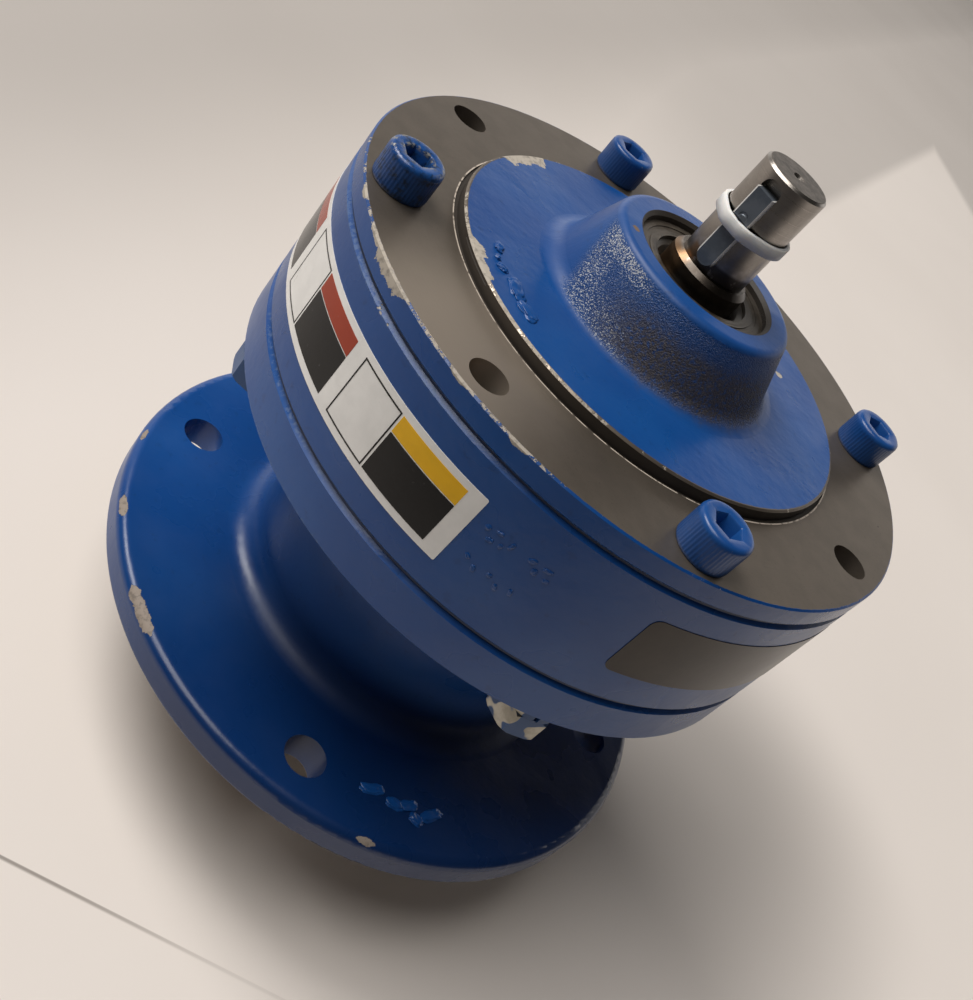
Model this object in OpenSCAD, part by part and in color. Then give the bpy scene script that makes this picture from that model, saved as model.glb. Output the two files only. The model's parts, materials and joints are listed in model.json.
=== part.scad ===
// Cycloidal reducer with a round mounting flange on its output side.
// Origin: centre of the flange's mounting face. +Z runs along the shafts towards the input end.

/* [Output casing] */
// Outside diameter of the mounting flange
flange_d = 160; // [158:1:168]
// Thickness of the mounting flange
flange_t = 9; // [8:0.5:12]
// Radius on the flange's top edge
flange_edge_r = 2.5; // [1:0.5:3.5]
// Rounding of the flange's edge at its mounting face
flange_base_r = 1.5; // [0.5:0.1:2]
// Diameter of the flange's bolt holes
flange_hole_d = 11; // [9:0.5:12]
// Distance from the flange's edge to its bolt circle
flange_hole_edge = 13; // [11:0.5:14]
// Distance from the flange's bolt circle to the centring spigot
spigot_inset = 12; // [9:0.5:16]
// Height of the centring spigot
spigot_h = 3; // [2.5:0.5:5]
// Outside diameter of the neck between flange and body
neck_d = 90; // [88:1:94]
// Fillet from the flange into the neck
neck_fillet_r = 7; // [5:0.5:8]
// Fillet from the neck into the rim's underside
rim_fillet_r = 8; // [4:1:9]
// Height of the casing from the mounting face to the ring gear's joint
casing_h = 74.5; // [74.5:0.5:80]
// Thickness of the casing's rim
rim_t = 12; // [10:0.5:13]

/* [Body] */
// Outside diameter of the body
body_d = 150; // [149:1:156]
// Chamfer on the body's edges at the seams
seam_chamfer = 0.8; // [0.3:0.1:1.5]
// Distance from the body's outside to its bolt circle
bolt_edge = 8; // [7.5:0.5:9]
// Diameter of the four open holes of the input face
adapter_hole_d = 9; // [8.8:0.1:9.4]
// Diameter of the four holes that take the casing screws
screw_hole_d = 8.4; // [8.2:0.1:8.6]
// Width of the ring gear housing
ring_w = 33; // [33:0.5:36]
// Distance from the bolt circle to the registers that centre the castings on each other
register_inset = 9; // [8:0.5:10]
// Depth of each register
register_h = 3; // [2:0.5:4]
// Thickness of a gasket
gasket_t = 0.5; // [0.3:0.1:0.8]

/* [Input end cover] */
// Thickness of the cover's rim
cover_rim_t = 5.5; // [5:0.5:9]
// Thickness of the cover's wall inside the register, measured from the machined face
cover_wall_t = 7; // [6:0.5:7.5]
// Distance from the bolt circle to the raised centring disc
disc_pilot_inset = 14.5; // [11:0.5:20]
// Height of the raised centring disc
disc_pilot_h = 2.7; // [2:0.1:4]
// Width of the relief groove around the raised disc
relief_w = 1; // [0.6:0.1:1.5]
// Depth of the relief groove
relief_h = 0.4; // [0.2:0.1:0.8]
// Diameter of the boss at its foot
boss_foot_d = 60; // [56:1:66]
// Diameter of the boss at its rim
boss_rim_d = 47; // [45:0.5:50]
// Height of the boss above the machined face
boss_h = 19; // [18:0.5:24]
// Fillet at the foot of the boss
boss_fillet_r = 5; // [2:0.5:8]
// Rounding of the boss's rim
boss_edge_r = 2; // [1:0.1:3]
// Chamfer at the mouth of the seal's bore
seal_mouth = 0.8; // [0.4:0.1:1.2]

/* [Cycloid stage] */
// Reduction ratio, which is the number of lobes of a disc
lobes = 11; // [11:2:13]
// Eccentricity of the input cam
eccentricity = 2.5; // [1.8:0.1:2.6]
// Radius of the circle that the ring pins stand on
ring_pin_circle_r = 50; // [49.5:0.1:50.5]
// Diameter of a ring pin
ring_pin_d = 10; // [8:0.5:11]
// Radial step from the ring pins' circle out to the housing's bore
ring_bore_step = 1; // [0.6:0.1:1.4]
// Thickness of a cycloid disc
disc_t = 10; // [8:0.5:10.5]
// Space between the two discs
disc_gap = 2; // [1.5:0.1:3]
// Thickness of the spacer ring between the discs
disc_spacer_t = 1.5; // [1:0.1:1.8]
// Clearance between a disc's lobes and the ring pins
lobe_clear = 0.18; // [0.12:0.01:0.3]
// Points along each lobe of a disc
lobe_points = 20; // [18:1:24]

/* [Carrier] */
// Number of carrier pins
carrier_pins_n = 8; // [6:2:8]
// Radius of the circle that the carrier pins stand on
carrier_circle_r = 32.5; // [32:0.1:33]
// Diameter of a carrier pin
carrier_pin_d = 7; // [5:0.5:8]
// Diameter of the roller on a carrier pin
carrier_roller_d = 10; // [9:0.5:10.5]
// Diameter of the carrier flange on the output shaft
carrier_d = 84; // [80:1:88]
// Thickness of the carrier flange
carrier_t = 12.5; // [12:0.5:13]
// How deep a carrier pin is pressed into the flange
carrier_pin_press = 11; // [8:0.5:11.5]

/* [Input cam] */
// Diameter of the shaft under the cam
cam_seat_d = 19; // [18:0.5:20]
// Radius of the circle that the cam rollers' centres run on
cam_roller_circle_r = 19.5; // [19:0.1:20]
// Diameter of a cam roller
cam_roller_d = 6; // [5:0.1:6.5]
// Number of rollers under each disc
cam_rollers_n = 12; // [8:1:14]
// Thickness of the roller cage, measured radially
cam_cage_t = 3; // [2:0.1:4]
// Width of a side rail of the roller cage
cam_cage_rail = 1.4; // [1:0.1:2]
// Thickness of the spacer between cam and pilot bearing
pilot_spacer_t = 1; // [0.6:0.1:1.2]

/* [Input shaft] */
// Diameter of the free input shaft end
input_d = 16; // [14:0.5:17]
// Length of the free input shaft end, from the collar to the tip
input_l = 25.5; // [24:0.5:40]
// How far the collar stands above the boss's rim
collar_proud = 2; // [1:0.5:4]
// Diameter of the thrust collar above the cam
thrust_collar_d = 26; // [24:0.5:28]
// Chamfer of the shaft tip
input_chamfer = 0.6; // [0.4:0.1:1.5]
// Diameter of the centre hole in the tip
centre_hole_d = 2.2; // [2:0.1:4]
// Width of the input key
input_key_w = 5; // [4:0.5:5]
// Height of the input key
input_key_h = 4; // [3.5:0.1:4.5]
// Depth of the input keyway
input_keyway_depth = 3; // [2.5:0.1:3.2]
// Length of the input keyway
input_keyway_l = 23; // [18:0.5:23]
// Length of the input key
input_key_l = 20; // [12:0.5:20]
// Chamfer on the outer edges of the input key
input_key_edge = 0.3; // [0.1:0.1:0.5]
// Direction of the input key at rest, in degrees
input_key_angle = -71; // [-180:1:180]
// Width of the retaining ring around shaft and key
key_ring_w = 3; // [2:0.5:6]
// Thickness of the retaining ring
key_ring_t = 1; // [0.8:0.1:1.6]
// Distance of the retaining ring above the collar
key_ring_offset = 10.5; // [3:0.5:12]

/* [Output shaft] */
// Diameter of the free output shaft end
output_d = 28; // [26:0.5:29]
// Length of the free output shaft end, from the mounting face
output_l = 35; // [34:1:60]
// Chamfer of the output shaft's end
output_chamfer = 1.5; // [0.5:0.1:2]
// Width of the output key
output_key_w = 8; // [6:0.5:8]
// Height of the output key
output_key_h = 7; // [6:0.5:7]
// Depth of the output keyway
output_keyway_depth = 4; // [3.5:0.1:4.5]
// Length of the output key
output_key_l = 25; // [16:1:27]
// Distance from the shaft end to the output key
output_key_end_gap = 4; // [3:0.5:5]
// Tapping diameter of the thread in the output shaft's end
end_thread_d = 8.5; // [6.8:0.1:8.5]
// Depth of the thread in the output shaft's end
end_thread_l = 22; // [15:1:26]

/* [Bearings and seals] */
// Bore of the input bearing
input_bearing_bore = 20; // [20:1:20]
// Outside diameter of the input bearing
input_bearing_od = 42; // [40:1:44]
// Width of the input bearing
input_bearing_w = 12; // [11:0.5:12.5]
// Ball diameter of the input bearing
input_bearing_ball = 6.35; // [5.5:0.05:6.5]
// Number of balls in the input bearing
input_bearing_n = 9; // [7:1:10]
// Bore of the neck bearing on the output shaft
neck_bearing_bore = 30; // [30:1:30]
// Outside diameter of the neck bearing
neck_bearing_od = 62; // [58:1:64]
// Width of the neck bearing
neck_bearing_w = 16; // [14:0.5:18]
// Ball diameter of the neck bearing
neck_bearing_ball = 9.5; // [8:0.1:10]
// Number of balls in the neck bearing
neck_bearing_n = 9; // [7:1:11]
// Bore of the carrier bearing on the output shaft
carrier_bearing_bore = 40; // [38:1:42]
// Outside diameter of the carrier bearing
carrier_bearing_od = 68; // [66:1:70]
// Width of the carrier bearing
carrier_bearing_w = 15; // [13:0.5:16]
// Ball diameter of the carrier bearing
carrier_bearing_ball = 8; // [7:0.1:8.5]
// Number of balls in the carrier bearing
carrier_bearing_n = 12; // [9:1:14]
// Bore of the pilot bearing between the shafts
pilot_bearing_bore = 15; // [15:1:15]
// Outside diameter of the pilot bearing
pilot_bearing_od = 32; // [30:1:34]
// Width of the pilot bearing
pilot_bearing_w = 9; // [8:0.5:9.5]
// Ball diameter of the pilot bearing
pilot_bearing_ball = 4.76; // [4:0.02:5]
// Number of balls in the pilot bearing
pilot_bearing_n = 9; // [7:1:10]
// Outside diameter of the input oil seal
input_seal_od = 35; // [33:1:36]
// Width of the input oil seal
input_seal_w = 6; // [5.5:0.5:7]
// Outside diameter of the output oil seal
output_seal_od = 50; // [46:1:52]
// Width of the output oil seal
output_seal_w = 8; // [7:0.5:8.5]
// Depth of the input seal's face below the boss's rim
input_seal_recess = 2; // [1:0.1:2.5]
// Distance from the mounting face up to the neck bearing
neck_bearing_z = 8; // [7.8:0.1:9]

/* [Fasteners] */
// Shank diameter of the casing screws
screw_d = 8; // [7.6:0.1:8]
// Length of a casing screw under its head
screw_l = 60; // [60:1:70]
// Head diameter of a casing screw
screw_head_d = 13; // [12:0.5:13.5]
// Head height of a casing screw
screw_head_h = 8; // [6:0.5:9]
// Width across the flats of the socket
socket_af = 6; // [5:0.5:6.5]
// Depth of the socket
socket_h = 4; // [3:0.5:5]
// Width across the flats of a nut
nut_af = 13; // [12:0.5:13]
// Height of a nut
nut_h = 6.5; // [5:0.5:7]
// Outside diameter of a spring washer
washer_d = 14; // [12.5:0.5:14]
// Thickness of a spring washer
washer_t = 2; // [1.5:0.1:2]
// Thickness of a retaining ring
clip_t = 1.5; // [1.2:0.1:1.7]

/* [Clearances] */
// Radial running clearance between rolling parts and their tracks
run_clear = 0.03; // [0.02:0.01:0.08]
// Radial clearance of a seal lip on its shaft
lip_clear = 0.05; // [0.02:0.01:0.09]
// Radial clearance of a screw in its nut
thread_clear = 0.05; // [0.02:0.01:0.1]
// Clearance between a cage and its rolling parts
cage_clear = 0.08; // [0.05:0.01:0.2]
// Gap between flat faces that turn against each other
face_gap = 0.25; // [0.2:0.05:0.4]
// Clearance of a register, a key or a clip in its seat
seat_clear = 0.03; // [0.01:0.01:0.05]
// Clearance between a carrier roller and its hole in a disc, on the driving side
drive_clear = 0.1; // [0.05:0.01:0.2]

/* [Hidden] */
$fn = 96;
EPS = 0.01;

// Colours of the finishes
PAINT = "royalblue";
MACHINED = "dimgray";
STEEL = "silver";
HARDENED = "lightsteelblue";

// Bearings as [bore, outside diameter, width, ball diameter, number of balls]
input_bearing = [input_bearing_bore, input_bearing_od, input_bearing_w, input_bearing_ball, input_bearing_n];
neck_bearing = [neck_bearing_bore, neck_bearing_od, neck_bearing_w, neck_bearing_ball, neck_bearing_n];
carrier_bearing = [
    carrier_bearing_bore, carrier_bearing_od, carrier_bearing_w, carrier_bearing_ball, carrier_bearing_n
];
pilot_bearing = [pilot_bearing_bore, pilot_bearing_od, pilot_bearing_w, pilot_bearing_ball, pilot_bearing_n];

// Oil seals as [bore, outside diameter, width]
input_seal = [input_bearing_bore, input_seal_od, input_seal_w];
output_seal = [neck_bearing_bore, output_seal_od, output_seal_w];

// Journals under the bearings
input_journal_d = input_bearing_bore;
pilot_journal_d = pilot_bearing_bore;

// Circles of flange and body
flange_pcd = flange_d - 2 * flange_hole_edge;
spigot_d = flange_pcd - 2 * spigot_inset;
body_pcd = body_d - 2 * bolt_edge;
register_d = body_pcd - 2 * register_inset;
disc_pilot_d = body_pcd - 2 * disc_pilot_inset;

// Bolt positions, in degrees around the axis
flange_hole_a = 45;
screw_a = 67.5;
adapter_hole_a = 22.5;

// Levels of the body, from the mounting face towards the input end
rim_z = casing_h - rim_t;
ring_z = casing_h + gasket_t;
ring_top_z = ring_z + ring_w;
cover_z = ring_top_z + gasket_t;
face_z = cover_z + cover_rim_t;
pilot_top_z = face_z + disc_pilot_h;
boss_top_z = face_z + boss_h;
pins_z0 = ring_z + register_h + face_gap;
pins_z1 = ring_top_z - register_h - face_gap;

// Levels of the cycloid stage, centred between the registers
discs_mid_z = (ring_z + ring_top_z) / 2;
disc_out_z = discs_mid_z - disc_gap / 2 - disc_t;
disc_in_z = discs_mid_z + disc_gap / 2;
stage_z0 = disc_out_z - face_gap;
stage_z1 = disc_in_z + disc_t + face_gap;
carrier_top_z = disc_out_z - 4 * face_gap;
carrier_z = carrier_top_z - carrier_t;
chamber_z = carrier_z - 4 * face_gap;

// Bearing places
b_bore = 0;
b_od = 1;
b_w = 2;
b_ball = 3;
b_n = 4;
pilot_bearing_z = carrier_top_z - pilot_bearing[b_w];
carrier_bearing_top_z = chamber_z - 4;
carrier_bearing_z = carrier_bearing_top_z - carrier_bearing[b_w];
input_seal_z = boss_top_z - input_seal_recess - input_seal[b_w];
cover_lip_t = 2.5;
input_bearing_top_z = input_seal_z - cover_lip_t;
input_bearing_z = input_bearing_top_z - input_bearing[b_w];
output_seal_z = -spigot_h + 0.5;

// Shaft levels
collar_top_z = boss_top_z + collar_proud;
input_tip_z = collar_top_z + input_l;
cam_z0 = carrier_top_z + pilot_spacer_t;
cam_z1 = stage_z1 + 0.75;
thrust_collar_h = 3;
journal_step_z = output_seal_z - 0.5 + 1;
clip_groove = 0.8;

// Disc outline: the path of the ring pins as a disc sees them, offset by the pins' radius
pins_n = lobes + 1;
lobe_offset = ring_pin_d / 2 + lobe_clear;
function lobe_normal(a) =
    atan2(-sin(lobes * a), ring_pin_circle_r / (eccentricity * pins_n) - cos(lobes * a));
function disc_point(a) = [
    ring_pin_circle_r * cos(a) - lobe_offset * cos(a + lobe_normal(a)) - eccentricity * cos(pins_n * a),
    -ring_pin_circle_r * sin(a) + lobe_offset * sin(a + lobe_normal(a)) + eccentricity * sin(pins_n * a)
];

// Cam and rollers
cam_r = cam_roller_circle_r - cam_roller_d / 2 - run_clear;
disc_bore_r = cam_roller_circle_r + cam_roller_d / 2 + run_clear;
carrier_hole_r = carrier_roller_d / 2 + eccentricity + drive_clear;
carrier_roller_z0 = carrier_top_z + face_gap;
carrier_roller_z1 = stage_z1 + face_gap;

// Keys
input_key_top_r = input_d / 2 - input_keyway_depth + input_key_h;
input_keyway_end_gap = 1.6;
input_keyway_top_z = input_tip_z - input_keyway_end_gap;
input_keyway_z = input_keyway_top_z - input_keyway_l;
output_key_z = -output_l + output_key_end_gap;
cam_key_w = 5;
cam_key_h = 5;
cam_keyway_depth = 3;
cam_key_l = 16;

// Copies its children around the axis.
module around(n, r, start = 0) {
    for (i = [0:n - 1])
        rotate([0, 0, start + i * 360 / n])
            translate([r, 0, 0]) children();
}

module disc(d, z0, z1) {
    translate([0, 0, z0]) cylinder(d = d, h = z1 - z0);
}

module tube(d_out, d_in, z0, z1) {
    difference() {
        disc(d_out, z0, z1);
        disc(d_in, z0 - 1, z1 + 1);
    }
}

// Profile rectangle from radius r0 to r1 and from height z0 to z1.
module band(r0, r1, z0, z1) {
    translate([r0, z0]) square([r1 - r0, z1 - z0]);
}

// A cylinder whose ends are chamfered by c0 below and c1 above.
module chamfered(d, z0, z1, c0 = 0, c1 = 0) {
    rotate_extrude()
        polygon([[0, z0], [d / 2 - c0, z0], [d / 2, z0 + c0], [d / 2, z1 - c1], [d / 2 - c1, z1], [0, z1]]);
}

// A straight slot of width w with round ends, cut outwards from radius r0, between the levels z0 and z1.
module round_slot(w, r0, r1, z0, z1) {
    translate([r0, 0, z0 + w / 2]) rotate([0, 90, 0]) cylinder(d = w, h = r1 - r0);
    translate([r0, 0, z1 - w / 2]) rotate([0, 90, 0]) cylinder(d = w, h = r1 - r0);
    translate([r0, -w / 2, z0 + w / 2]) cube([r1 - r0, w, z1 - z0 - w]);
}

// Bolt holes of the three body castings.
module body_holes(z0, z1) {
    around(4, body_pcd / 2, screw_a) disc(screw_hole_d, z0, z1);
    around(4, body_pcd / 2, adapter_hole_a) disc(adapter_hole_d, z0, z1);
}

// Deep-groove ball bearing, bearing = [bore, outside, width, ball, count].
function pitch_r(b) = (b[b_bore] + b[b_od]) / 4;

module race_profile(b, r0, r1) {
    edge = 0.6;
    difference() {
        polygon([[r0 + edge, 0], [r1 - edge, 0], [r1, edge], [r1, b[b_w] - edge],
                 [r1 - edge, b[b_w]], [r0 + edge, b[b_w]], [r0, b[b_w] - edge], [r0, edge]]);
        translate([pitch_r(b), b[b_w] / 2]) circle(r = b[b_ball] / 2 + run_clear);
    }
}

module outer_race(b, z) {
    color(HARDENED) translate([0, 0, z]) rotate_extrude()
        race_profile(b, pitch_r(b) + b[b_ball] * 0.3, b[b_od] / 2);
}

module inner_race(b, z) {
    color(HARDENED) translate([0, 0, z]) rotate_extrude()
        race_profile(b, b[b_bore] / 2, pitch_r(b) - b[b_ball] * 0.3);
}

module bearing_balls(b, z) {
    color(STEEL) translate([0, 0, z + b[b_w] / 2])
        around(b[b_n], pitch_r(b)) sphere(d = b[b_ball]);
}

module bearing_cage(b, z) {
    rail = 0.9;
    half_w = b[b_ball] / 2 + rail;
    wall = b[b_ball] * 0.26;
    color("goldenrod") translate([0, 0, z + b[b_w] / 2]) difference() {
        tube(2 * pitch_r(b) + wall, 2 * pitch_r(b) - wall, -half_w, half_w);
        around(b[b_n], pitch_r(b)) rotate([0, 90, 0])
            cylinder(d = b[b_ball] + 2 * cage_clear, h = 2 * wall, center = true);
    }
}

// Wire-cut retaining ring with an open gap.
module snap_ring(d_in, d_out, z, open_a) {
    gap_w = 6;
    color("darkslategray") difference() {
        tube(d_out, d_in, z, z + clip_t);
        rotate([0, 0, open_a]) translate([0, -gap_w / 2, z - 1]) cube([d_out, gap_w, clip_t + 2]);
    }
}

module output_casing_outline() {
    flange_r = flange_d / 2;
    neck_r = neck_d / 2;
    body_r = body_d / 2;
    difference() {
        union() {
            band(0, flange_r, flange_base_r, flange_t - flange_edge_r);
            band(0, flange_r - flange_base_r, 0, flange_t - flange_edge_r);
            band(0, flange_r - flange_edge_r, 0, flange_t);
            translate([flange_r - flange_edge_r, flange_t - flange_edge_r]) circle(r = flange_edge_r);
            translate([flange_r - flange_base_r, flange_base_r]) circle(r = flange_base_r);
            band(0, spigot_d / 2, -spigot_h, EPS);
            band(0, neck_r, 0, rim_z + EPS);
            band(0, neck_r + neck_fillet_r, flange_t - EPS, flange_t + neck_fillet_r);
            band(0, neck_r + rim_fillet_r, rim_z - rim_fillet_r, rim_z + EPS);
            polygon([[0, rim_z], [body_r - seam_chamfer, rim_z], [body_r, rim_z + seam_chamfer],
                     [body_r, casing_h - 1.5 * seam_chamfer], [body_r - 1.5 * seam_chamfer, casing_h],
                     [0, casing_h]]);
            band(0, register_d / 2 - seat_clear, casing_h - EPS, ring_z + register_h);
        }
        translate([neck_r + neck_fillet_r, flange_t + neck_fillet_r]) circle(r = neck_fillet_r);
        translate([neck_r + rim_fillet_r, rim_z - rim_fillet_r]) circle(r = rim_fillet_r);
    }
}

module output_casing() {
    snap_groove_d = carrier_bearing[b_od] + 4;
    color(PAINT) difference() {
        rotate_extrude() output_casing_outline();
        disc(output_seal[b_od], -spigot_h - 1, neck_bearing_z);
        disc(neck_bearing[b_od], neck_bearing_z, carrier_bearing_z);
        disc(carrier_bearing[b_od], carrier_bearing_z - EPS, chamber_z);
        tube(snap_groove_d, carrier_bearing[b_od] - 1, carrier_bearing_top_z, carrier_bearing_top_z + clip_t + 0.1);
        disc(carrier_d + 8, chamber_z, ring_z + register_h + 1);
        around(4, flange_pcd / 2, flange_hole_a) disc(flange_hole_d, -1, flange_t + 1);
        body_holes(rim_z - 1, casing_h + 1);
    }
}

module ring_gear_housing() {
    c = seam_chamfer;
    body_r = body_d / 2;
    color(PAINT) difference() {
        rotate_extrude()
            polygon([[0, ring_z], [body_r - c, ring_z], [body_r, ring_z + c],
                     [body_r, ring_top_z - c], [body_r - c, ring_top_z], [0, ring_top_z]]);
        disc(2 * (ring_pin_circle_r + ring_bore_step), ring_z - 1, ring_top_z + 1);
        disc(register_d, ring_z - 1, ring_z + register_h + face_gap / 2);
        disc(register_d, ring_top_z - register_h - face_gap / 2, ring_top_z + 1);
        around(pins_n, ring_pin_circle_r) disc(ring_pin_d + 2 * seat_clear, ring_z, ring_top_z);
        body_holes(ring_z - 1, ring_top_z + 1);
    }
}

module input_end_cover_outline() {
    body_r = body_d / 2;
    foot_r = boss_foot_d / 2;
    rim_r = boss_rim_d / 2;
    flank_a = atan((foot_r - rim_r) / (boss_top_z - pilot_top_z));
    edge_z = boss_top_z - boss_edge_r;
    edge_x = foot_r - (boss_edge_r + (edge_z - pilot_top_z) * sin(flank_a)) / cos(flank_a);
    fillet_x = foot_r + boss_fillet_r * (1 - sin(flank_a)) / cos(flank_a);
    fillet_z = pilot_top_z + boss_fillet_r;
    difference() {
        union() {
            polygon([[0, cover_z], [body_r - seam_chamfer, cover_z], [body_r, cover_z + seam_chamfer],
                     [body_r, face_z - seam_chamfer / 2], [body_r - seam_chamfer / 2, face_z], [0, face_z]]);
            polygon([[0, face_z - EPS], [disc_pilot_d / 2, face_z - EPS], [disc_pilot_d / 2, pilot_top_z - 0.4],
                     [disc_pilot_d / 2 - 0.4, pilot_top_z], [0, pilot_top_z]]);
            polygon([[0, pilot_top_z - EPS], [foot_r, pilot_top_z - EPS],
                     [edge_x + boss_edge_r * cos(flank_a), edge_z + boss_edge_r * sin(flank_a)],
                     [edge_x, edge_z], [edge_x, boss_top_z], [0, boss_top_z]]);
            translate([edge_x, edge_z]) circle(r = boss_edge_r);
            polygon([[foot_r - 1, pilot_top_z - EPS], [fillet_x, pilot_top_z - EPS], [fillet_x, fillet_z],
                     [fillet_x - boss_fillet_r * cos(flank_a), fillet_z - boss_fillet_r * sin(flank_a)]]);
            band(0, register_d / 2 - seat_clear, ring_top_z - register_h, cover_z + EPS);
        }
        translate([fillet_x, fillet_z]) circle(r = boss_fillet_r);
        band(disc_pilot_d / 2, disc_pilot_d / 2 + relief_w, face_z - relief_h, face_z + EPS);
    }
}

module input_end_cover() {
    seal_r = input_seal[b_od] / 2;
    snap_groove_d = input_bearing[b_od] + 2.6;
    color(PAINT) difference() {
        rotate_extrude() input_end_cover_outline();
        disc(carrier_d + 8, ring_top_z - register_h - 1, face_z - cover_wall_t);
        disc(input_bearing[b_od], face_z - cover_wall_t - EPS, input_bearing_top_z);
        tube(snap_groove_d, input_bearing[b_od] - 1, input_bearing_z - clip_t - 0.1, input_bearing_z);
        disc(input_bearing[b_od] - 10, input_bearing_top_z - EPS, input_seal_z + EPS);
        disc(input_seal[b_od], input_seal_z, boss_top_z + 1);
        translate([0, 0, boss_top_z - seal_mouth])
            cylinder(r1 = seal_r, r2 = seal_r + 2 * seal_mouth, h = 2 * seal_mouth);
        body_holes(cover_z - 1, face_z + 1);
    }
}

module gasket(z) {
    color("saddlebrown") difference() {
        tube(body_d - 2 * seam_chamfer, register_d + 1, z, z + gasket_t);
        body_holes(z - 1, z + gasket_t + 1);
    }
}

module output_gasket() gasket(casing_h);

module input_gasket() gasket(ring_top_z);

module cap_screw() {
    translate([0, 0, face_z]) difference() {
        union() {
            chamfered(screw_head_d, 0, screw_head_h, 0, 0.6);
            chamfered(screw_d - 2 * thread_clear, -screw_l, EPS, 0.8, 0);
        }
        translate([0, 0, screw_head_h - socket_h])
            cylinder(r = socket_af / sqrt(3), h = socket_h + 1, $fn = 6);
    }
}

module casing_screws() {
    color(PAINT) around(4, body_pcd / 2, screw_a) cap_screw();
}

module nut() {
    corner_r = nut_af / sqrt(3);
    bevel = 0.6;
    difference() {
        intersection() {
            cylinder(r = corner_r, h = nut_h, $fn = 6);
            chamfered(2 * corner_r, 0, nut_h, bevel, bevel);
        }
        disc(screw_d, -1, nut_h + 1);
    }
}

module casing_nuts() {
    color("lightgray") around(4, body_pcd / 2, screw_a)
        translate([0, 0, rim_z - washer_t - nut_h]) rotate([0, 0, 30]) nut();
}

module spring_washer() {
    split_w = 1.2;
    difference() {
        tube(washer_d, screw_d, rim_z - washer_t, rim_z);
        translate([0, -split_w / 2, rim_z - washer_t - 1]) cube([washer_d, split_w, washer_t + 2]);
    }
}

module spring_washers() {
    color("gray") around(4, body_pcd / 2, screw_a) spring_washer();
}

module ring_pins() {
    color(HARDENED) around(pins_n, ring_pin_circle_r) chamfered(ring_pin_d, pins_z0, pins_z1, 0.5, 0.5);
}

// Lip seal, seal = [bore, outside, width]; its open face is at the top.
module seal_profile(seal) {
    r_in = seal[0] / 2 + lip_clear;
    r_out = seal[1] / 2;
    w = seal[2];
    case_t = 1.2;
    face_groove_h = 0.2;
    step = (r_out - r_in) / 4;
    difference() {
        band(r_out - case_t - 2 * step, r_out, 0, w);
        band(r_out - 1.6 * step, r_out - step, w - face_groove_h, w + EPS);
        band(r_out - case_t - 2 * step - EPS, r_out - case_t, case_t, w - 2);
    }
    polygon([[r_in, w - 4], [r_in + 1, w - 4.6], [r_out - case_t - 2 * step + EPS, w - 2],
             [r_out - case_t - 2 * step + EPS, w - 1], [r_in + 1.4, w - 1.6]]);
}

module input_oil_seal() {
    color("darkslategray") translate([0, 0, input_seal_z]) rotate_extrude() seal_profile(input_seal);
}

module output_oil_seal() {
    color("darkslategray") translate([0, 0, output_seal_z + output_seal[2]]) mirror([0, 0, 1])
        rotate_extrude() seal_profile(output_seal);
}

module input_shaft() {
    key_floor_r = input_d / 2 - input_keyway_depth;
    clip_z = input_bearing_top_z;
    color(STEEL) difference() {
        union() {
            chamfered(pilot_journal_d, pilot_bearing_z - 1, cam_z0 + EPS, 0.8, 0);
            chamfered(cam_seat_d, cam_z0, cam_z1 + EPS, 0.4, 0);
            chamfered(thrust_collar_d, cam_z1, cam_z1 + thrust_collar_h, 0.5, 0.5);
            disc(input_journal_d + 4, cam_z1 + thrust_collar_h - EPS, input_bearing_z);
            chamfered(input_journal_d, input_bearing_z - EPS, collar_top_z, 0, 1.2);
            chamfered(input_d, collar_top_z - EPS, input_tip_z, 0, input_chamfer);
        }
        rotate([0, 0, input_key_angle])
            round_slot(input_key_w, key_floor_r, input_d, input_keyway_z, input_keyway_top_z);
        tube(input_journal_d + 2, input_journal_d - 2 * clip_groove, clip_z, clip_z + clip_t + 0.1);
        translate([0, 0, input_tip_z - 2.5]) cylinder(d = centre_hole_d, h = 3);
        translate([0, 0, input_tip_z - centre_hole_d / 3])
            cylinder(r1 = centre_hole_d / 2, r2 = centre_hole_d, h = centre_hole_d);
        rotate([0, 0, 90]) round_slot(cam_key_w, cam_seat_d / 2 - cam_keyway_depth, cam_seat_d,
            discs_mid_z - cam_key_l / 2, discs_mid_z + cam_key_l / 2);
    }
}

module input_key() {
    w = input_key_w - 2 * seat_clear;
    e = input_key_edge;
    floor_r = input_d / 2 - input_keyway_depth;
    edge_r = input_key_top_r - e;
    round_z = input_keyway_z + input_key_w / 2;
    color("slategray") rotate([0, 0, input_key_angle]) translate([0, 0, round_z]) {
        linear_extrude(input_key_l - input_key_w / 2)
            polygon([[floor_r, -w / 2], [edge_r, -w / 2], [input_key_top_r, e - w / 2],
                     [input_key_top_r, w / 2 - e], [edge_r, w / 2], [floor_r, w / 2]]);
        translate([floor_r, 0, 0]) rotate([0, 90, 0]) cylinder(d = w, h = input_key_h - e);
        translate([edge_r, 0, 0]) rotate([0, 90, 0]) cylinder(d1 = w, d2 = w - 2 * e, h = e);
    }
}

// Half of a belt of thickness t round the shaft and over the key's outer corners. Its straight
// flank starts a little inside the round part, so that the two cross cleanly.
module half_belt(t) {
    r = input_d / 2 + seat_clear;
    corner = [input_key_top_r + seat_clear, input_key_w / 2];
    flank_a = atan2(corner.y, corner.x) + acos(r / norm(corner));
    flank_start = 0.94 * (r + t) * [cos(flank_a + 12), sin(flank_a + 12)];
    rounding = t > 0 ? [for (a = [0, flank_a / 2, flank_a]) corner + t * [cos(a), sin(a)]] : [corner];
    circle(r = r + t);
    polygon(concat([[0, 0], [corner.x + t, 0]], rounding, [flank_start]));
}

module belt(t) {
    half_belt(t);
    mirror([0, 1]) half_belt(t);
}

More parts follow.
